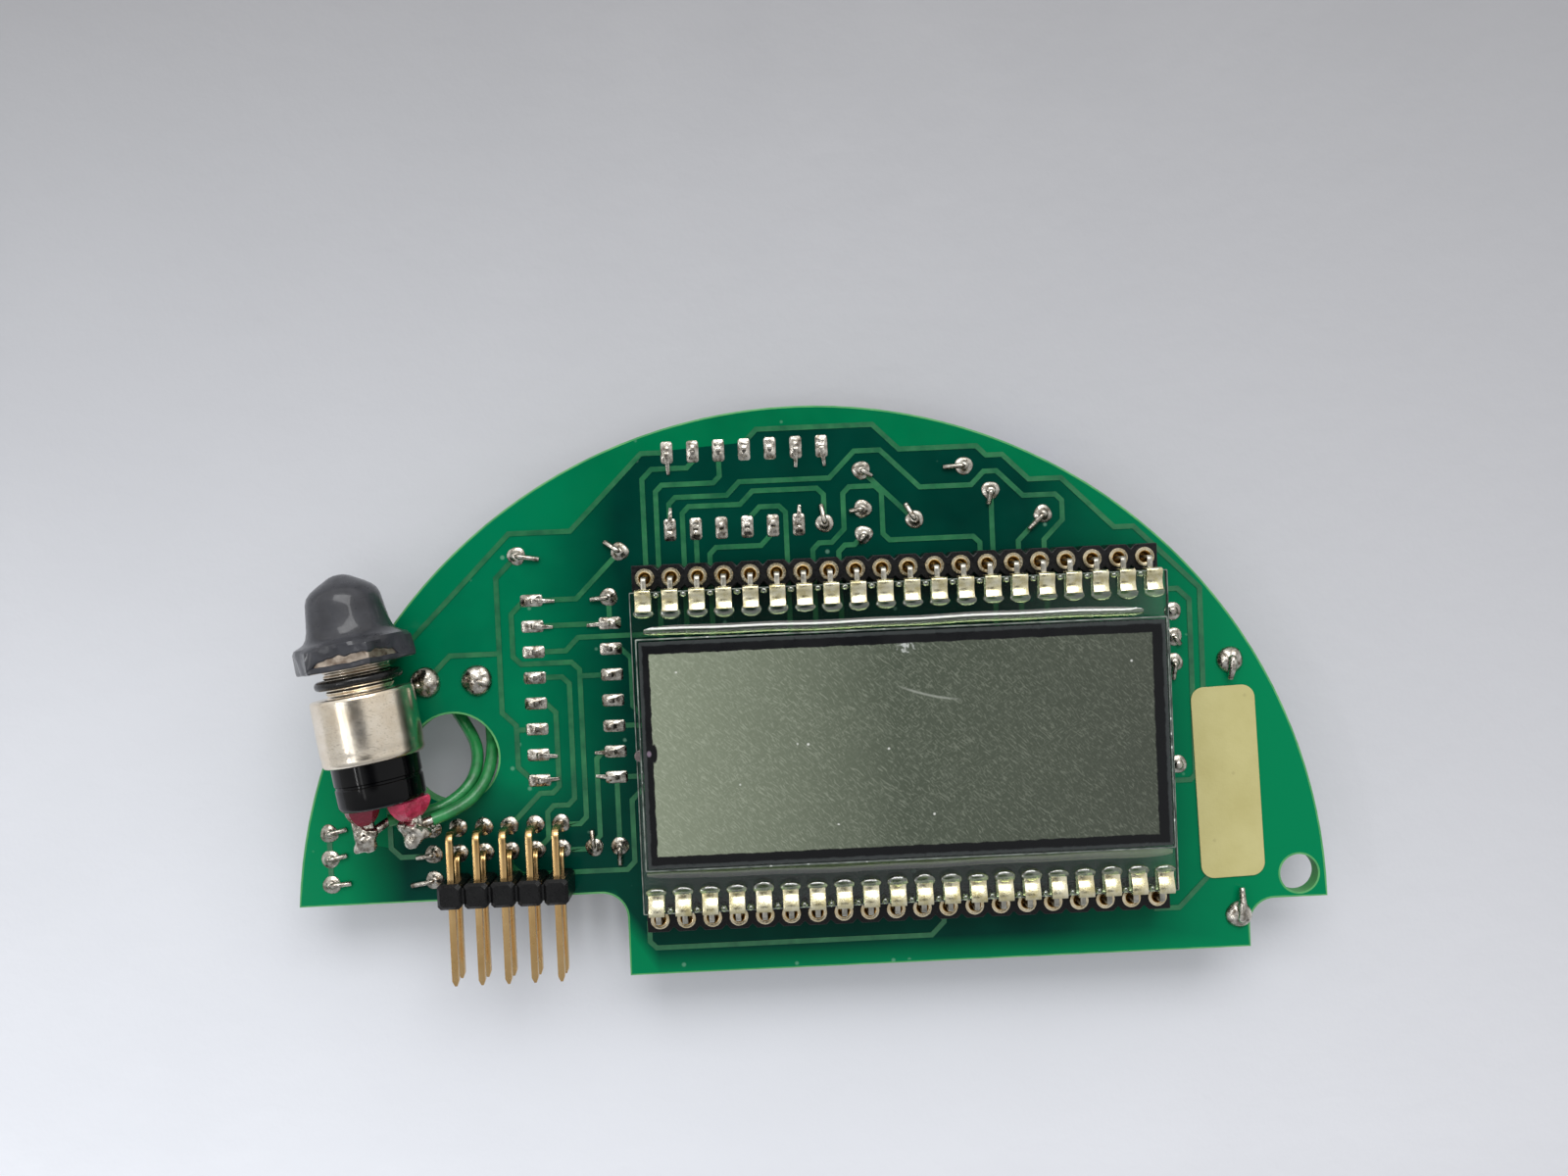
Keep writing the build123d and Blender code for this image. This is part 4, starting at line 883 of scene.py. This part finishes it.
shown = joined(tree, "MULTIPLY", scored, scaled(tree, spot.outputs["X"], film_low[0] * MM,
                                                film_high[0] * MM, 0.2, 0.09))
reflection_and_wear = between(tree, shown, painted_reflection, shade(196, 202, 184))
# One longer scratch is part of a circle: bright where the distance from its middle is its radius.
ARC_MIDDLE, ARC_RADIUS, RUB_MIDDLE = (-32.2, 38.7, 7.6), 19.1, (-39.0, 25.0, 7.6)


def away_from(point):
    """The distance from a point given in millimetres."""
    return add(tree, "VectorMath", {0: place, 1: tuple(np.array(point) * MM)},
               operation="DISTANCE").outputs["Value"]


bend = away_from(ARC_MIDDLE)
off = add(tree, "Math", {0: joined(tree, "SUBTRACT", bend, ARC_RADIUS * MM)},
          operation="ABSOLUTE").outputs[0]
arc = joined(tree, "MULTIPLY", over_mm(tree, off, 0.16, 0.03),
             oval((-37.0, 20.4), (2.7, 1.2), 0.3))
reflection_and_wear = between(tree, scaled(tree, arc, 0, 1, 0, 0.3), reflection_and_wear, shade(196, 200, 190))
rub = away_from(RUB_MIDDLE)
rubbed = joined(tree, "MULTIPLY", over_mm(tree, rub, 1.6, 0.1), patches(tree, place, 0.35))
reflection_and_wear = between(tree, scaled(tree, rubbed, 0.35, 0.6, 0, 0.7), reflection_and_wear, shade(196, 200, 196))
grit = shared(tree, specks, place, 0.5, 0.006)
reflection_and_wear = between(tree, scaled(tree, grit, 0, 1, 0, 0.8), reflection_and_wear, shade(214, 216, 210))
bordered = between(tree, border, reflection_and_wear, shade(13, 14, 16))
bordered = between(tree, oval((-63.35, 15.9), (0.2, 0.26), 0.3), bordered, shade(112, 98, 112))
tree.links.new(between(tree, rim, bordered, shade(50, 54, 54)), shader.inputs["Base Color"])
bump = add(tree, "Bump", {"Height": scored, "Distance": 0.003 * MM, "Strength": 0.5})
tree.links.new(bump.outputs[0], shader.inputs["Normal"])
piece("polarising_sheet", [pane(film_low, film_high, 0.15, 0.04)], film, "polariser", "board",
      "front_polariser")

glue = finish("black_glue_frame", (16, 18, 18), (34, 36, 36), 1.0, (0.3, 0.5))[0]
softened("glue_frame", "cell_seal", 0.01, 1, glue, "cell_glue", "board")
sealant = finish("port_sealant", (72, 66, 66), (108, 96, 94), 0.5, (0.12, 0.25),
                 Coat_Weight=0.5)[0]
softened("port_bead", "fill_port_plug", 0.12, 3, sealant, "port_sealant", "board")
foil = finish("matt_foil", (150, 152, 154), (190, 192, 194), 3.0, (0.35, 0.5), Metallic=1.0,
              grain=(0.01, 0.3))[0]
softened("backing_foil", "rear_reflector", 0.03, 1, foil, "reflector", "board")

# ---- Clear resin on the ledges --------------------------------------------------------------
# Clear resin brushed along the rear pane's two ledges once the legs were on: a low smooth ridge
# beside the front pane, and a bead over the inner end of each leg.
clear_resin = finish("clear_resin", (214, 232, 160), (232, 242, 196), 3.0, (0.02, 0.05),
                     Transmission_Weight=1.0, IOR=1.5, Specular_IOR_Level=1.0, Coat_Weight=1.0,
                     Coat_IOR=2.2,
                     Coat_Roughness=0.04)[0]
ledge_low, ledge_high = box_of("display_rear_glass")
face_low, face_high = box_of("display_front_glass")


def ridge(start, end, middle, half, height, base):
    """A low ridge along X: a parabola across it that dies away at both ends and wanders."""
    along_it = np.linspace(0, 1, 80)[None, :]
    over = np.linspace(-1, 1, 15)[:, None]
    ends = (1 - (2 * along_it - 1) ** 20)
    wander = 0.05 * np.sin(9 * along_it + 1) + 0.03 * np.sin(31 * along_it)
    x = start + (end - start) * along_it + 0 * over
    y = middle + wander + half * over * (0.4 + 0.6 * ends)
    z = base + height * (1 - over ** 2) * ends
    under = np.stack([x[:1], middle + 0 * y[:1], 0 * z[:1] + base - 0.01], -1)
    points = np.concatenate([np.stack([x, y, z], -1), under])
    first, last = points[:, :1].mean(0, keepdims=True), points[:, -1:].mean(0, keepdims=True)
    points = np.concatenate([first.repeat(16, 0), points, last.repeat(16, 0)], axis=1)
    return surface(points, wrap_rows=True, wrap_columns=False)


def bead(x, y, base, wide, deep, height):
    """Half of a flattened ball: rings of an ellipse whose height is the root of what is left."""
    out = np.sin(np.linspace(0, 1, 7) * np.pi / 2)[:, None]
    angle = np.arange(18)[None] * 2 * np.pi / 18
    dome = np.stack([wide * out * np.cos(angle), deep * out * np.sin(angle),
                     height * np.sqrt(np.clip(1 - out ** 2, 0, 1)) + 0 * angle], -1)
    foot = np.zeros((1, 18, 3)) - [0, 0, 0.02]
    points, quads = surface(np.concatenate([dome, foot]))
    return points + np.array([x, y, base]), quads


base = ledge_high[2]
shapes = [ridge(ledge_low[0] + 1.2, ledge_high[0] - 2.4, face_high[1] + 0.56, 0.52, 0.21, base),
          ridge(ledge_low[0] + 0.5, ledge_high[0] - 0.5, face_low[1] - 0.55, 0.5, 0.08, base)]
for side, edge, inward in (("upper", ledge_high[1], -1), ("lower", ledge_low[1], 1)):
    columns = solids_of(side + "_display_pins").mean(axis=1)[:, 0]
    for x in columns:
        shapes.append(bead(x, edge + inward * 2.05, base, 1.0, random.uniform(0.45, 0.7),
                           random.uniform(0.16, 0.26)))
    for x in columns[:-1] + 1.27:
        shapes.append(bead(x, edge + inward * 0.3, base, 0.34, 0.3, random.uniform(0.18, 0.3)))
piece("ledge_resin", shapes, clear_resin, "cell_glass", "board", sharp=60)

# ---- Display legs ---------------------------------------------------------------------------
# Forty spring clips pressed from thin tinned strip and pushed over the rear pane's two ledges.
# From each clip's root a narrow leg runs out and bends down into its socket contact.
CLIP_ACROSS = 1.5
CLIP_THICK = 0.16
tinned = finish(
    "tinned_spring", (214, 202, 152), (252, 246, 216), 0.9, (0.18, 0.3), grain=(0.005, 0.2),
                Metallic=1.0)[0]
pane_low, pane_high = box_of("display_rear_glass")
shapes, legs = [], []
for side, facing in (("upper", 1), ("lower", -1)):
    edge = pane_high[1] if facing > 0 else pane_low[1]
    for low, high in solids_of(side + "_display_pins"):
        x = (low[0] + high[0]) / 2
        row = high[1] - 0.14 if facing > 0 else low[1] + 0.14
        top = high[2] - CLIP_THICK / 2
        under = pane_low[2] - 0.06 - CLIP_THICK / 2
        if facing > 0:
            over = [(-1.85, top + 0.16), (-1.55, top + 0.0), (-1.2, top - 0.11),
                    (-0.8, top - 0.12), (-0.45, top + 0.02),
                    (-0.15, top + 0.13), (0.05, top + 0.08)]
        else:
            over = [(-1.85, top - 0.07), (-1.5, top - 0.06), (-1.3, top + 0.01),
                    (-0.9, top + 0.19), (-0.5, top + 0.32),
                    (-0.15, top + 0.37), (0.05, top + 0.32)]
        spine = over + [(0.14, top - 0.12), (0.14, under + 0.12), (0.02, under), (-0.6, under),
                        (-1.85, under - 0.02)]
        path = [(x, edge + facing * out, z) for out, z in spine]
        shapes.append(swept(oblong(CLIP_ACROSS, CLIP_THICK, 0.05, 12), path, (1, 0, 0)))
        leg = rounded_path([(x, edge, under - 0.05), (x, row, under - 0.05), (x, row, low[2])],
                           0.3, 6)
        legs.append(swept(oblong(0.5, 0.26, 0.05, 12), leg, (1, 0, 0)))
piece("display_clips", shapes, tinned, "clip_metal", "board", "upper_display_pins",
      "lower_display_pins", sharp=40)
grey_tin = finish("grey_leg_tin", (150, 148, 138), (206, 202, 190), 0.8, (0.25, 0.4),
                  grain=(0.004, 0.2), Metallic=1.0)[0]
piece("display_legs", legs, grey_tin, "clip_metal", "board", sharp=40)

# ---- Right-angle pin header -----------------------------------------------------------------
# Ten square gold-plated pins in two rows, pushed through a black block, bent down and soldered
# into the board. Their pointed ends stand out past the board's edge for a plug.
PIN = 0.64
block_low, block_high = box_of("header_housing")
BLOCK_CORE = np.array([0.8, 0.5, 0.35])
columns = solids_of("upper_header_pins").mean(axis=1)[:, 0]
shapes = [pane(np.array([x - 1.2, block_low[1], block_low[2]]),
               np.array([x + 1.2, block_high[1], block_high[2]]),
               0.55, 0.28, 8) for x in columns]
shapes.append(pane(block_low + BLOCK_CORE, block_high - BLOCK_CORE, 0.1, 0.05, 8))
piece("header_block", shapes, black_nylon, "black_nylon", "board", "header_housing", sharp=25)
shapes, hills = [], []
for node in ("upper_header_pins", "lower_header_pins"):
    for low, high in solids_of(node):
        x = (low[0] + high[0]) / 2
        back = high[1] - PIN / 2
        level = high[2] - PIN / 2
        path = rounded_path([(x, low[1], level), (x, back, level), (x, back, low[2])], 0.75, 7)
        tip = path[:1] + np.array([[0, 0.55, 0]])
        path = np.concatenate([path[:1], tip, path[1:-1], path[-1:] + [[0, 0, 0.4]], path[-1:]])
        sizes = np.ones(len(path))
        sizes[0], sizes[-1] = 0.35, 0.6
        shapes.append(swept(oblong(PIN, PIN, 0.05, 12), path, (1, 0, 0), sizes))
        hills.append(placed(lathe(HILL, 20, 0.03, x), (x, back, 0.0)))
piece("gold_pins", shapes, gold, "gold_plate", "board", "upper_header_pins", "lower_header_pins",
      sharp=40)
piece("header_joints", hills, solder, "solder", "board", sharp=50)

# ---- Switch body ----------------------------------------------------------------------------
# A sealed push switch that lies on the board: a nickel-plated can with a rolled rear rim, a black
# moulded rear half crimped into it, and crimson resin round the feet of its two solder tags.
press = next(joint for joint in frame["joints"] if joint["name"] == "button_press")
ahead = -np.array(press["axis"], float)
ahead /= np.linalg.norm(ahead)
aside = np.array([ahead[1], -ahead[0], 0.0])
NECK_HALF = 2.3
UP = np.array([0, 0, 1.0])
neck_low, neck_high = box_of("switch_bushing")
can_front = (neck_low + neck_high) / 2 - NECK_HALF * ahead


def laid_down(shape, at, side, way):
    """A shape made about Z, laid on its side: its X goes along side, its Y up, its Z along way."""
    points, quads = shape
    return at + points[:, :1] * side + points[:, 1:2] * UP + points[:, 2:] * way, quads


def on_switch(shape):
    """A shape made about Z from the can's front face, laid along the switch's own axis."""
    return laid_down(shape, can_front, aside, ahead)


nickel, tree, shader, place, colour = finish(
    "nickel_plating", (232, 217, 194), (250, 240, 223), 2.6, (0.2, 0.25), grain=(0.003, 0.5),
                                             Metallic=1.0)
lines = shared(tree, scratches, place, 0.1, 0.14)
tree.links.new(between(tree, scaled(tree, lines, 0, 1, 0, 0.25), colour, shade(140, 130, 118)),
               shader.inputs["Base Color"])
CAN = [(0.0, -6.48), (3.9, -6.48), (4.35, -6.46), (4.6, -6.36), (4.74, -6.14), (4.77, -5.9),
       (4.72, -5.6), (4.78, -5.3),
       (4.8, -4.9), (4.8, -0.4), (4.77, -0.18), (4.68, -0.05), (4.5, 0.0), (0.0, 0.0)]
piece("nickel_can", [on_switch(lathe(CAN, 72))], nickel, "nickel", "board", "switch_can",
      sharp=40)
glossy_black = finish("glossy_black_moulding", (2, 2, 3), (7, 7, 8), 2.0, (0.07, 0.14),
                      Specular_IOR_Level=0.22)[0]
REAR = [(0.0, -10.75), (3.5, -10.75), (3.8, -10.68), (4.02, -10.48), (4.1, -10.2), (4.1, -8.6),
        (4.0, -8.5), (4.0, -8.3),
        (4.1, -8.2), (4.1, -6.5), (0.0, -6.5)]
piece("switch_rear_half", [on_switch(lathe(REAR, 64))], glossy_black, "switch_black", "board",
      "switch_rear_body")
resin, tree, shader, _, colour = finish(
    "crimson_resin", (142, 22, 52), (196, 56, 90), 0.9, (0.14, 0.3), grain=(0.06, 0.6),
                                        Coat_Weight=0.4)
LOBE = np.array([(0.0, 0.0), (1.85, 0.0), (1.95, -0.2), (1.9, -0.55), (1.72, -1.0), (1.45, -1.45),
                 (1.1, -1.85),
                 (0.65, -2.15), (0.25, -2.25), (0.0, -2.25)])
shapes = [on_switch(placed(lathe(LOBE * size + [0, -10.7], 9, 0.16, way), (2.1 * way, 0, 0)))
          for way, size in ((-1, (0.8, 0.82)), (1, (1.12, 0.96)))]
# The left lobe is coloured darker than the right.
lobe_tone = add(tree, "Attribute", attribute_name="tint").outputs["Fac"]
tree.links.new(between(tree, lobe_tone, shade(104, 12, 34), colour), shader.inputs["Base Color"])
piece("resin_lobes", shapes, resin, "crimson_resin", "board", "base_resin", sharp=16,
      shades=[0.15, 1.0])
softened("solder_tags", "switch_terminals", 0.06, 2, solder, "tinned_leg", "board")


def lump(at, radius, spikes, phase):
    """A ball whose radius swells in two crossed waves and runs out in a few points: each adds the
    ninth power of how nearly a direction points its way."""
    down = np.linspace(0, np.pi, 33)[:, None]
    angle = np.arange(56)[None] * 2 * np.pi / 56
    way = np.stack([np.sin(down) * np.cos(angle), np.sin(down) * np.sin(angle),
                    np.cos(down) + 0 * angle], -1)
    swell = 1 + 0.10 * np.sin(3 * angle + phase) * np.sin(down) ** 2
    swell = swell + 0.09 * np.sin(5 * down + 2 * angle + phase)
    ripple = 0.06 * np.sin(9 * down + phase)
    swell = swell + ripple * np.sin(7 * angle + 2 * phase) * np.sin(down)
    for x, y, z, long in spikes:
        point = np.array([x, y, z]) / np.linalg.norm([x, y, z])
        swell = swell + long * np.clip(way @ point, 0, 1) ** 9
    points, quads = surface(way * (radius * swell)[..., None])
    return points + np.array(at), quads


LUMPS_BACK = -13.6
HEAPS = [(-2.3, 0.95, [(-0.7, 0.3, -0.7, 0.8), (0.35, 0.2, -1.0, 0.7), (0.9, 0.3, 0.3, 0.5),
                       (-0.2, -0.2, 1.0, 0.6)]),
         (2.3, 1.05, [(0.9, 0.0, -0.5, 0.7), (-0.35, 0.3, -1.0, 0.9), (0.4, 0.5, -0.8, 0.5),
                      (-0.9, 0.1, 0.3, 0.5),
                      (0.1, -0.2, 1.0, 0.6)])]
heaps = [on_switch(lump((x, 0, LUMPS_BACK), size, spikes, 1.7 * x)) for x, size, spikes in HEAPS]
strands = []
for (x, size, spikes), route in zip(HEAPS, (LEFT_WIRE, RIGHT_WIRE)):
    heart = on_switch((np.array([[x, 0, LUMPS_BACK]]), None))[0][0]
    start, after = np.array(route[0]), np.array(route[1])
    into = start + 0.5 * (after - start) / np.linalg.norm(after - start)
    strand = rounded_path([heart, (heart + start) / 2 + [0, 0, 0.1], start, into], 0.3, 4)
    strands.append(swept(round_rod(0.85, 12), strand, (0, 0, 1)))
piece("tag_solder", heaps + strands, solder, "solder", "board", "terminal_solder", sharp=60)

# ---- Switch neck ----------------------------------------------------------------------------
# The threaded nickel neck that a panel would hold by, with a rubber ring to seal it and a thin
# six-sided nut against the boot.
THREAD_RADIUS, THREAD_DEEP, THREAD_PITCH = 3.10, 0.075, 0.5
turns = np.linspace(0, 4.6, 93)
THREAD = [(0.0, 0.0), (3.175, 0.0)]
THREAD += [(THREAD_RADIUS + THREAD_DEEP * np.cos(2 * np.pi * s / THREAD_PITCH),
            s) for s in turns[2:-2]]
THREAD += [(2.9, 4.6), (1.68, 4.6), (1.68, 0.05), (0.0, 0.05)]
piece("threaded_neck", [on_switch(lathe(THREAD, 48))], nickel, "nickel", "board",
      "switch_bushing", sharp=50)
ring_rubber = finish("ring_rubber", (7, 7, 7), (16, 16, 16), 1.5, (0.16, 0.3),
                     grain=(0.004, 0.3))[0]
around = np.linspace(0, 2 * np.pi, 14, endpoint=False)
round_section = np.stack([3.64 + 0.46 * np.cos(around), 1.3 + 0.46 * np.sin(around)], -1)
closed = surface(lathe(round_section, 64)[0].reshape(14, 64, 3), wrap_rows=True)
piece("sealing_ring", [on_switch(closed)], ring_rubber, "ring_rubber", "board", "panel_o_ring")
worn_nickel = finish("worn_nickel", (128, 112, 98), (214, 200, 184), 0.9, (0.3, 0.45),
                     grain=(0.006, 0.4), Metallic=1.0)[0]
softened("six_sided_nut", "boot_nut", 0.15, 3, worn_nickel, "nickel", "board")

# ---- Boot and button ------------------------------------------------------------------------
# A glossy dark grey rubber boot moulded over the nut, its flange torn ragged round the rim. It
# closes over the button's plastic plunger.
rubber = finish(
    "boot_rubber", (43, 44, 48), (58, 59, 64), 2.0, (0.26, 0.4), grain=(0.006, 0.9),
                Specular_IOR_Level=0.25,
    Coat_Weight=0.4, Coat_Roughness=0.05)[0]
angle = np.arange(144) * 2 * np.pi / 144
hexagon = 4.8 / np.cos(np.mod(angle - np.pi / 3, np.pi / 3) - np.pi / 6)
bare = 0.05 * np.sin(17 * angle) + 0.04 * np.sin(29 * angle + 1)
for middle, width, deep in ((1.2, 0.82, 0.72), (4.6, 0.6, 0.6)):
    bare = bare + deep * np.exp(-((angle - middle) / width) ** 8)
rim = 2.75 + 1.5 * np.clip(bare, 0, 1)
lumps = 0.06 * np.sin(7 * angle + 0.5) + 0.05 * np.sin(13 * angle)
BOOT_LOWEST = 0.12
SKIRT = [(0.03, 0.0), (0.12 + lumps, 0.0), (0.24 + lumps, 0.12), (0.26 + lumps, 0.3)]
CROWN = [(5.25, 5.0), (4.75, 5.2), (4.3, 5.45), (4.02, 5.85), (3.82, 6.5), (3.68, 7.4),
         (3.56, 8.3), (3.46, 9.0),
         (3.25, 9.6), (2.85, 10.05), (2.2, 10.5), (1.45, 10.92), (0.95, 11.2), (0.5, 11.34),
         (0.0, 11.38), (0.0, 10.6),
         (1.5, 10.3), (2.5, 9.7), (2.75, 9.0), (2.95, 6.0), (3.2, 5.2), (3.2, 4.34)]
rows = [(hexagon + more, rim + up) for more, up in SKIRT]
rows += [(0.5 * (hexagon + 0.3 + lumps) + 0.5 * 5.5, np.maximum(rim + 0.4, 4.65) + 0 * angle)]
rows += [(radius + 0 * angle, height + 0 * angle) for radius, height in CROWN]
rows += [(hexagon + 0.03, 4.34 + 0 * angle)]
radius, height = (np.stack([row[k] for row in rows]) for k in (0, 1))
boot_points = np.stack([radius * np.cos(angle), radius * np.sin(angle), height], -1)
laid, quads = on_switch(surface(boot_points, wrap_rows=True))
laid[:, 2] = np.maximum(laid[:, 2], BOOT_LOWEST)
LIP = [(-1.0, 2.62), (0.1, 2.6), (0.22, 2.72), (0.2, 3.0), (0.06, 3.14), (-1.0, 3.1)]
lip_points = np.stack([np.stack([(hexagon + more + lumps) * np.cos(angle),
                                 (hexagon + more + lumps) * np.sin(angle),
                                 up + 0.5 * lumps], -1) for more, up in LIP])
lip_laid, lip_quads = on_switch(surface(lip_points, wrap_rows=True))
lip_laid[:, 2] = np.maximum(lip_laid[:, 2], BOOT_LOWEST)
piece("boot_lip", [(lip_laid, lip_quads)], rubber, "boot_rubber", "board")
boot = piece("rubber_boot", [(laid, quads)], rubber, "boot_rubber", None, "switch_boot")
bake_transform(boot)
plastic = finish("plunger_plastic", (168, 160, 146), (190, 184, 170), 1.5, (0.35, 0.5))[0]
softened("plunger_rod", "switch_plunger", 0.1, 2, plastic, "plunger", "button")

# ---- Integrated circuits on the rear face ---------------------------------------------------
# Three dual in-line packages of black epoxy with tinned legs. The places of two follow their
# joints, and what they are is guessed. The wide display driver is assumed.
epoxy = finish("black_epoxy", (20, 20, 21), (34, 34, 35), 1.6, (0.45, 0.65),
               grain=(0.02, 0.15))[0]
leg_tin = finish("leg_tinning", (150, 150, 148), (206, 206, 202), 1.2, (0.2, 0.4),
                 Metallic=1.0)[0]
for circuit in ("timing_circuit", "logic_circuit", "display_driver"):
    softened(circuit + "_package", circuit + "_body", 0.12, 2, epoxy, "chip_body", "board")
    softened(circuit + "_feet", circuit + "_legs", 0.05, 1, leg_tin, "tinned_leg", "board")

# ---- Small parts on the rear face -----------------------------------------------------------
# Five axial resistors, three disc capacitors and a three-lead regulator, each on its own leads.
# Their places follow their joints, and their kinds and colours are guessed.
tan = finish(
    "tan_lacquer", (176, 148, 104), (200, 172, 128), 1.5, (0.25, 0.4), Coat_Weight=0.3)[0]
ochre = finish("ochre_lacquer", (186, 128, 52), (206, 150, 70), 1.2, (0.25, 0.4),
               Coat_Weight=0.3)[0]
TURNINGS = [(0.0, 3.15), (0.5, 3.12), (0.95, 2.9), (1.14, 2.5), (1.14, 2.0), (1.02, 1.6),
            (0.98, 0.9), (0.98, -0.9),
            (1.02, -1.6), (1.14, -2.0), (1.14, -2.5), (0.95, -2.9), (0.5, -3.12), (0.0, -3.15)]
shapes, leads = [], []
for low, high in solids_of("axial_resistors"):
    middle, wide = (low + high) / 2, (high - low)[:2]
    way = np.array([1.0, 0, 0]) if wide[0] > wide[1] else np.array([0, 1.0, 0])
    side = np.array([way[1], way[0], 0])
    centre = np.array([middle[0], middle[1], low[2] + 1.15])
    shapes.append(laid_down(lathe(TURNINGS, 28), centre, side, way))
    half = max(wide) / 2 - LEAD_ACROSS / 2
    for end in (-half, half):
        foot = centre + end * way
        leads.append(swept(round_rod(LEAD_ACROSS, 12), rounded_path(
            [centre + np.sign(end) * 2.9 * way, foot, [foot[0], foot[1], -0.2]], 0.6, 6), side))
piece("resistors", shapes, tan, "resistor", "board", "axial_resistors")
piece("resistor_leads", leads, leg_tin, "tinned_leg", "board")
softened("disc_parts", "disc_capacitors", 0.08, 2, ochre, "ceramic", "board")
softened("regulator", "three_lead_regulator", 0.08, 2, epoxy, "chip_body", "board")

# ---- Trimmer and filter capacitor -----------------------------------------------------------
# A blue many-turn trimmer with a slotted brass screw in its end, and a sleeved electrolytic
# capacitor lying on its side.
blue = finish("blue_moulding", (24, 62, 130), (36, 80, 152), 3.0, (0.35, 0.5),
              grain=(0.01, 0.3))[0]
softened("trimmer_case", "trimmer_body", 0.2, 3, blue, "trimmer_case", "board")
brass = finish("screw_brass", (176, 140, 70), (212, 178, 104), 0.8, (0.2, 0.35), Metallic=1.0)[0]
softened("adjusting_screw", "trimmer_screw", 0.06, 2, brass, "screw_brass", "adjuster")
softened("trimmer_feet", "trimmer_pins", 0.04, 1, leg_tin, "tinned_leg", "board")
sleeve = finish("blue_sleeve", (22, 34, 74), (32, 48, 96), 3.0, (0.2, 0.35), Coat_Weight=0.4)[0]
softened("sleeved_capacitor", "filter_capacitor", 0.15, 2, sleeve, "capacitor_sleeve", "board")
softened("capacitor_leads", "filter_capacitor_leads", 0.08, 1, leg_tin, "tinned_leg", "board")
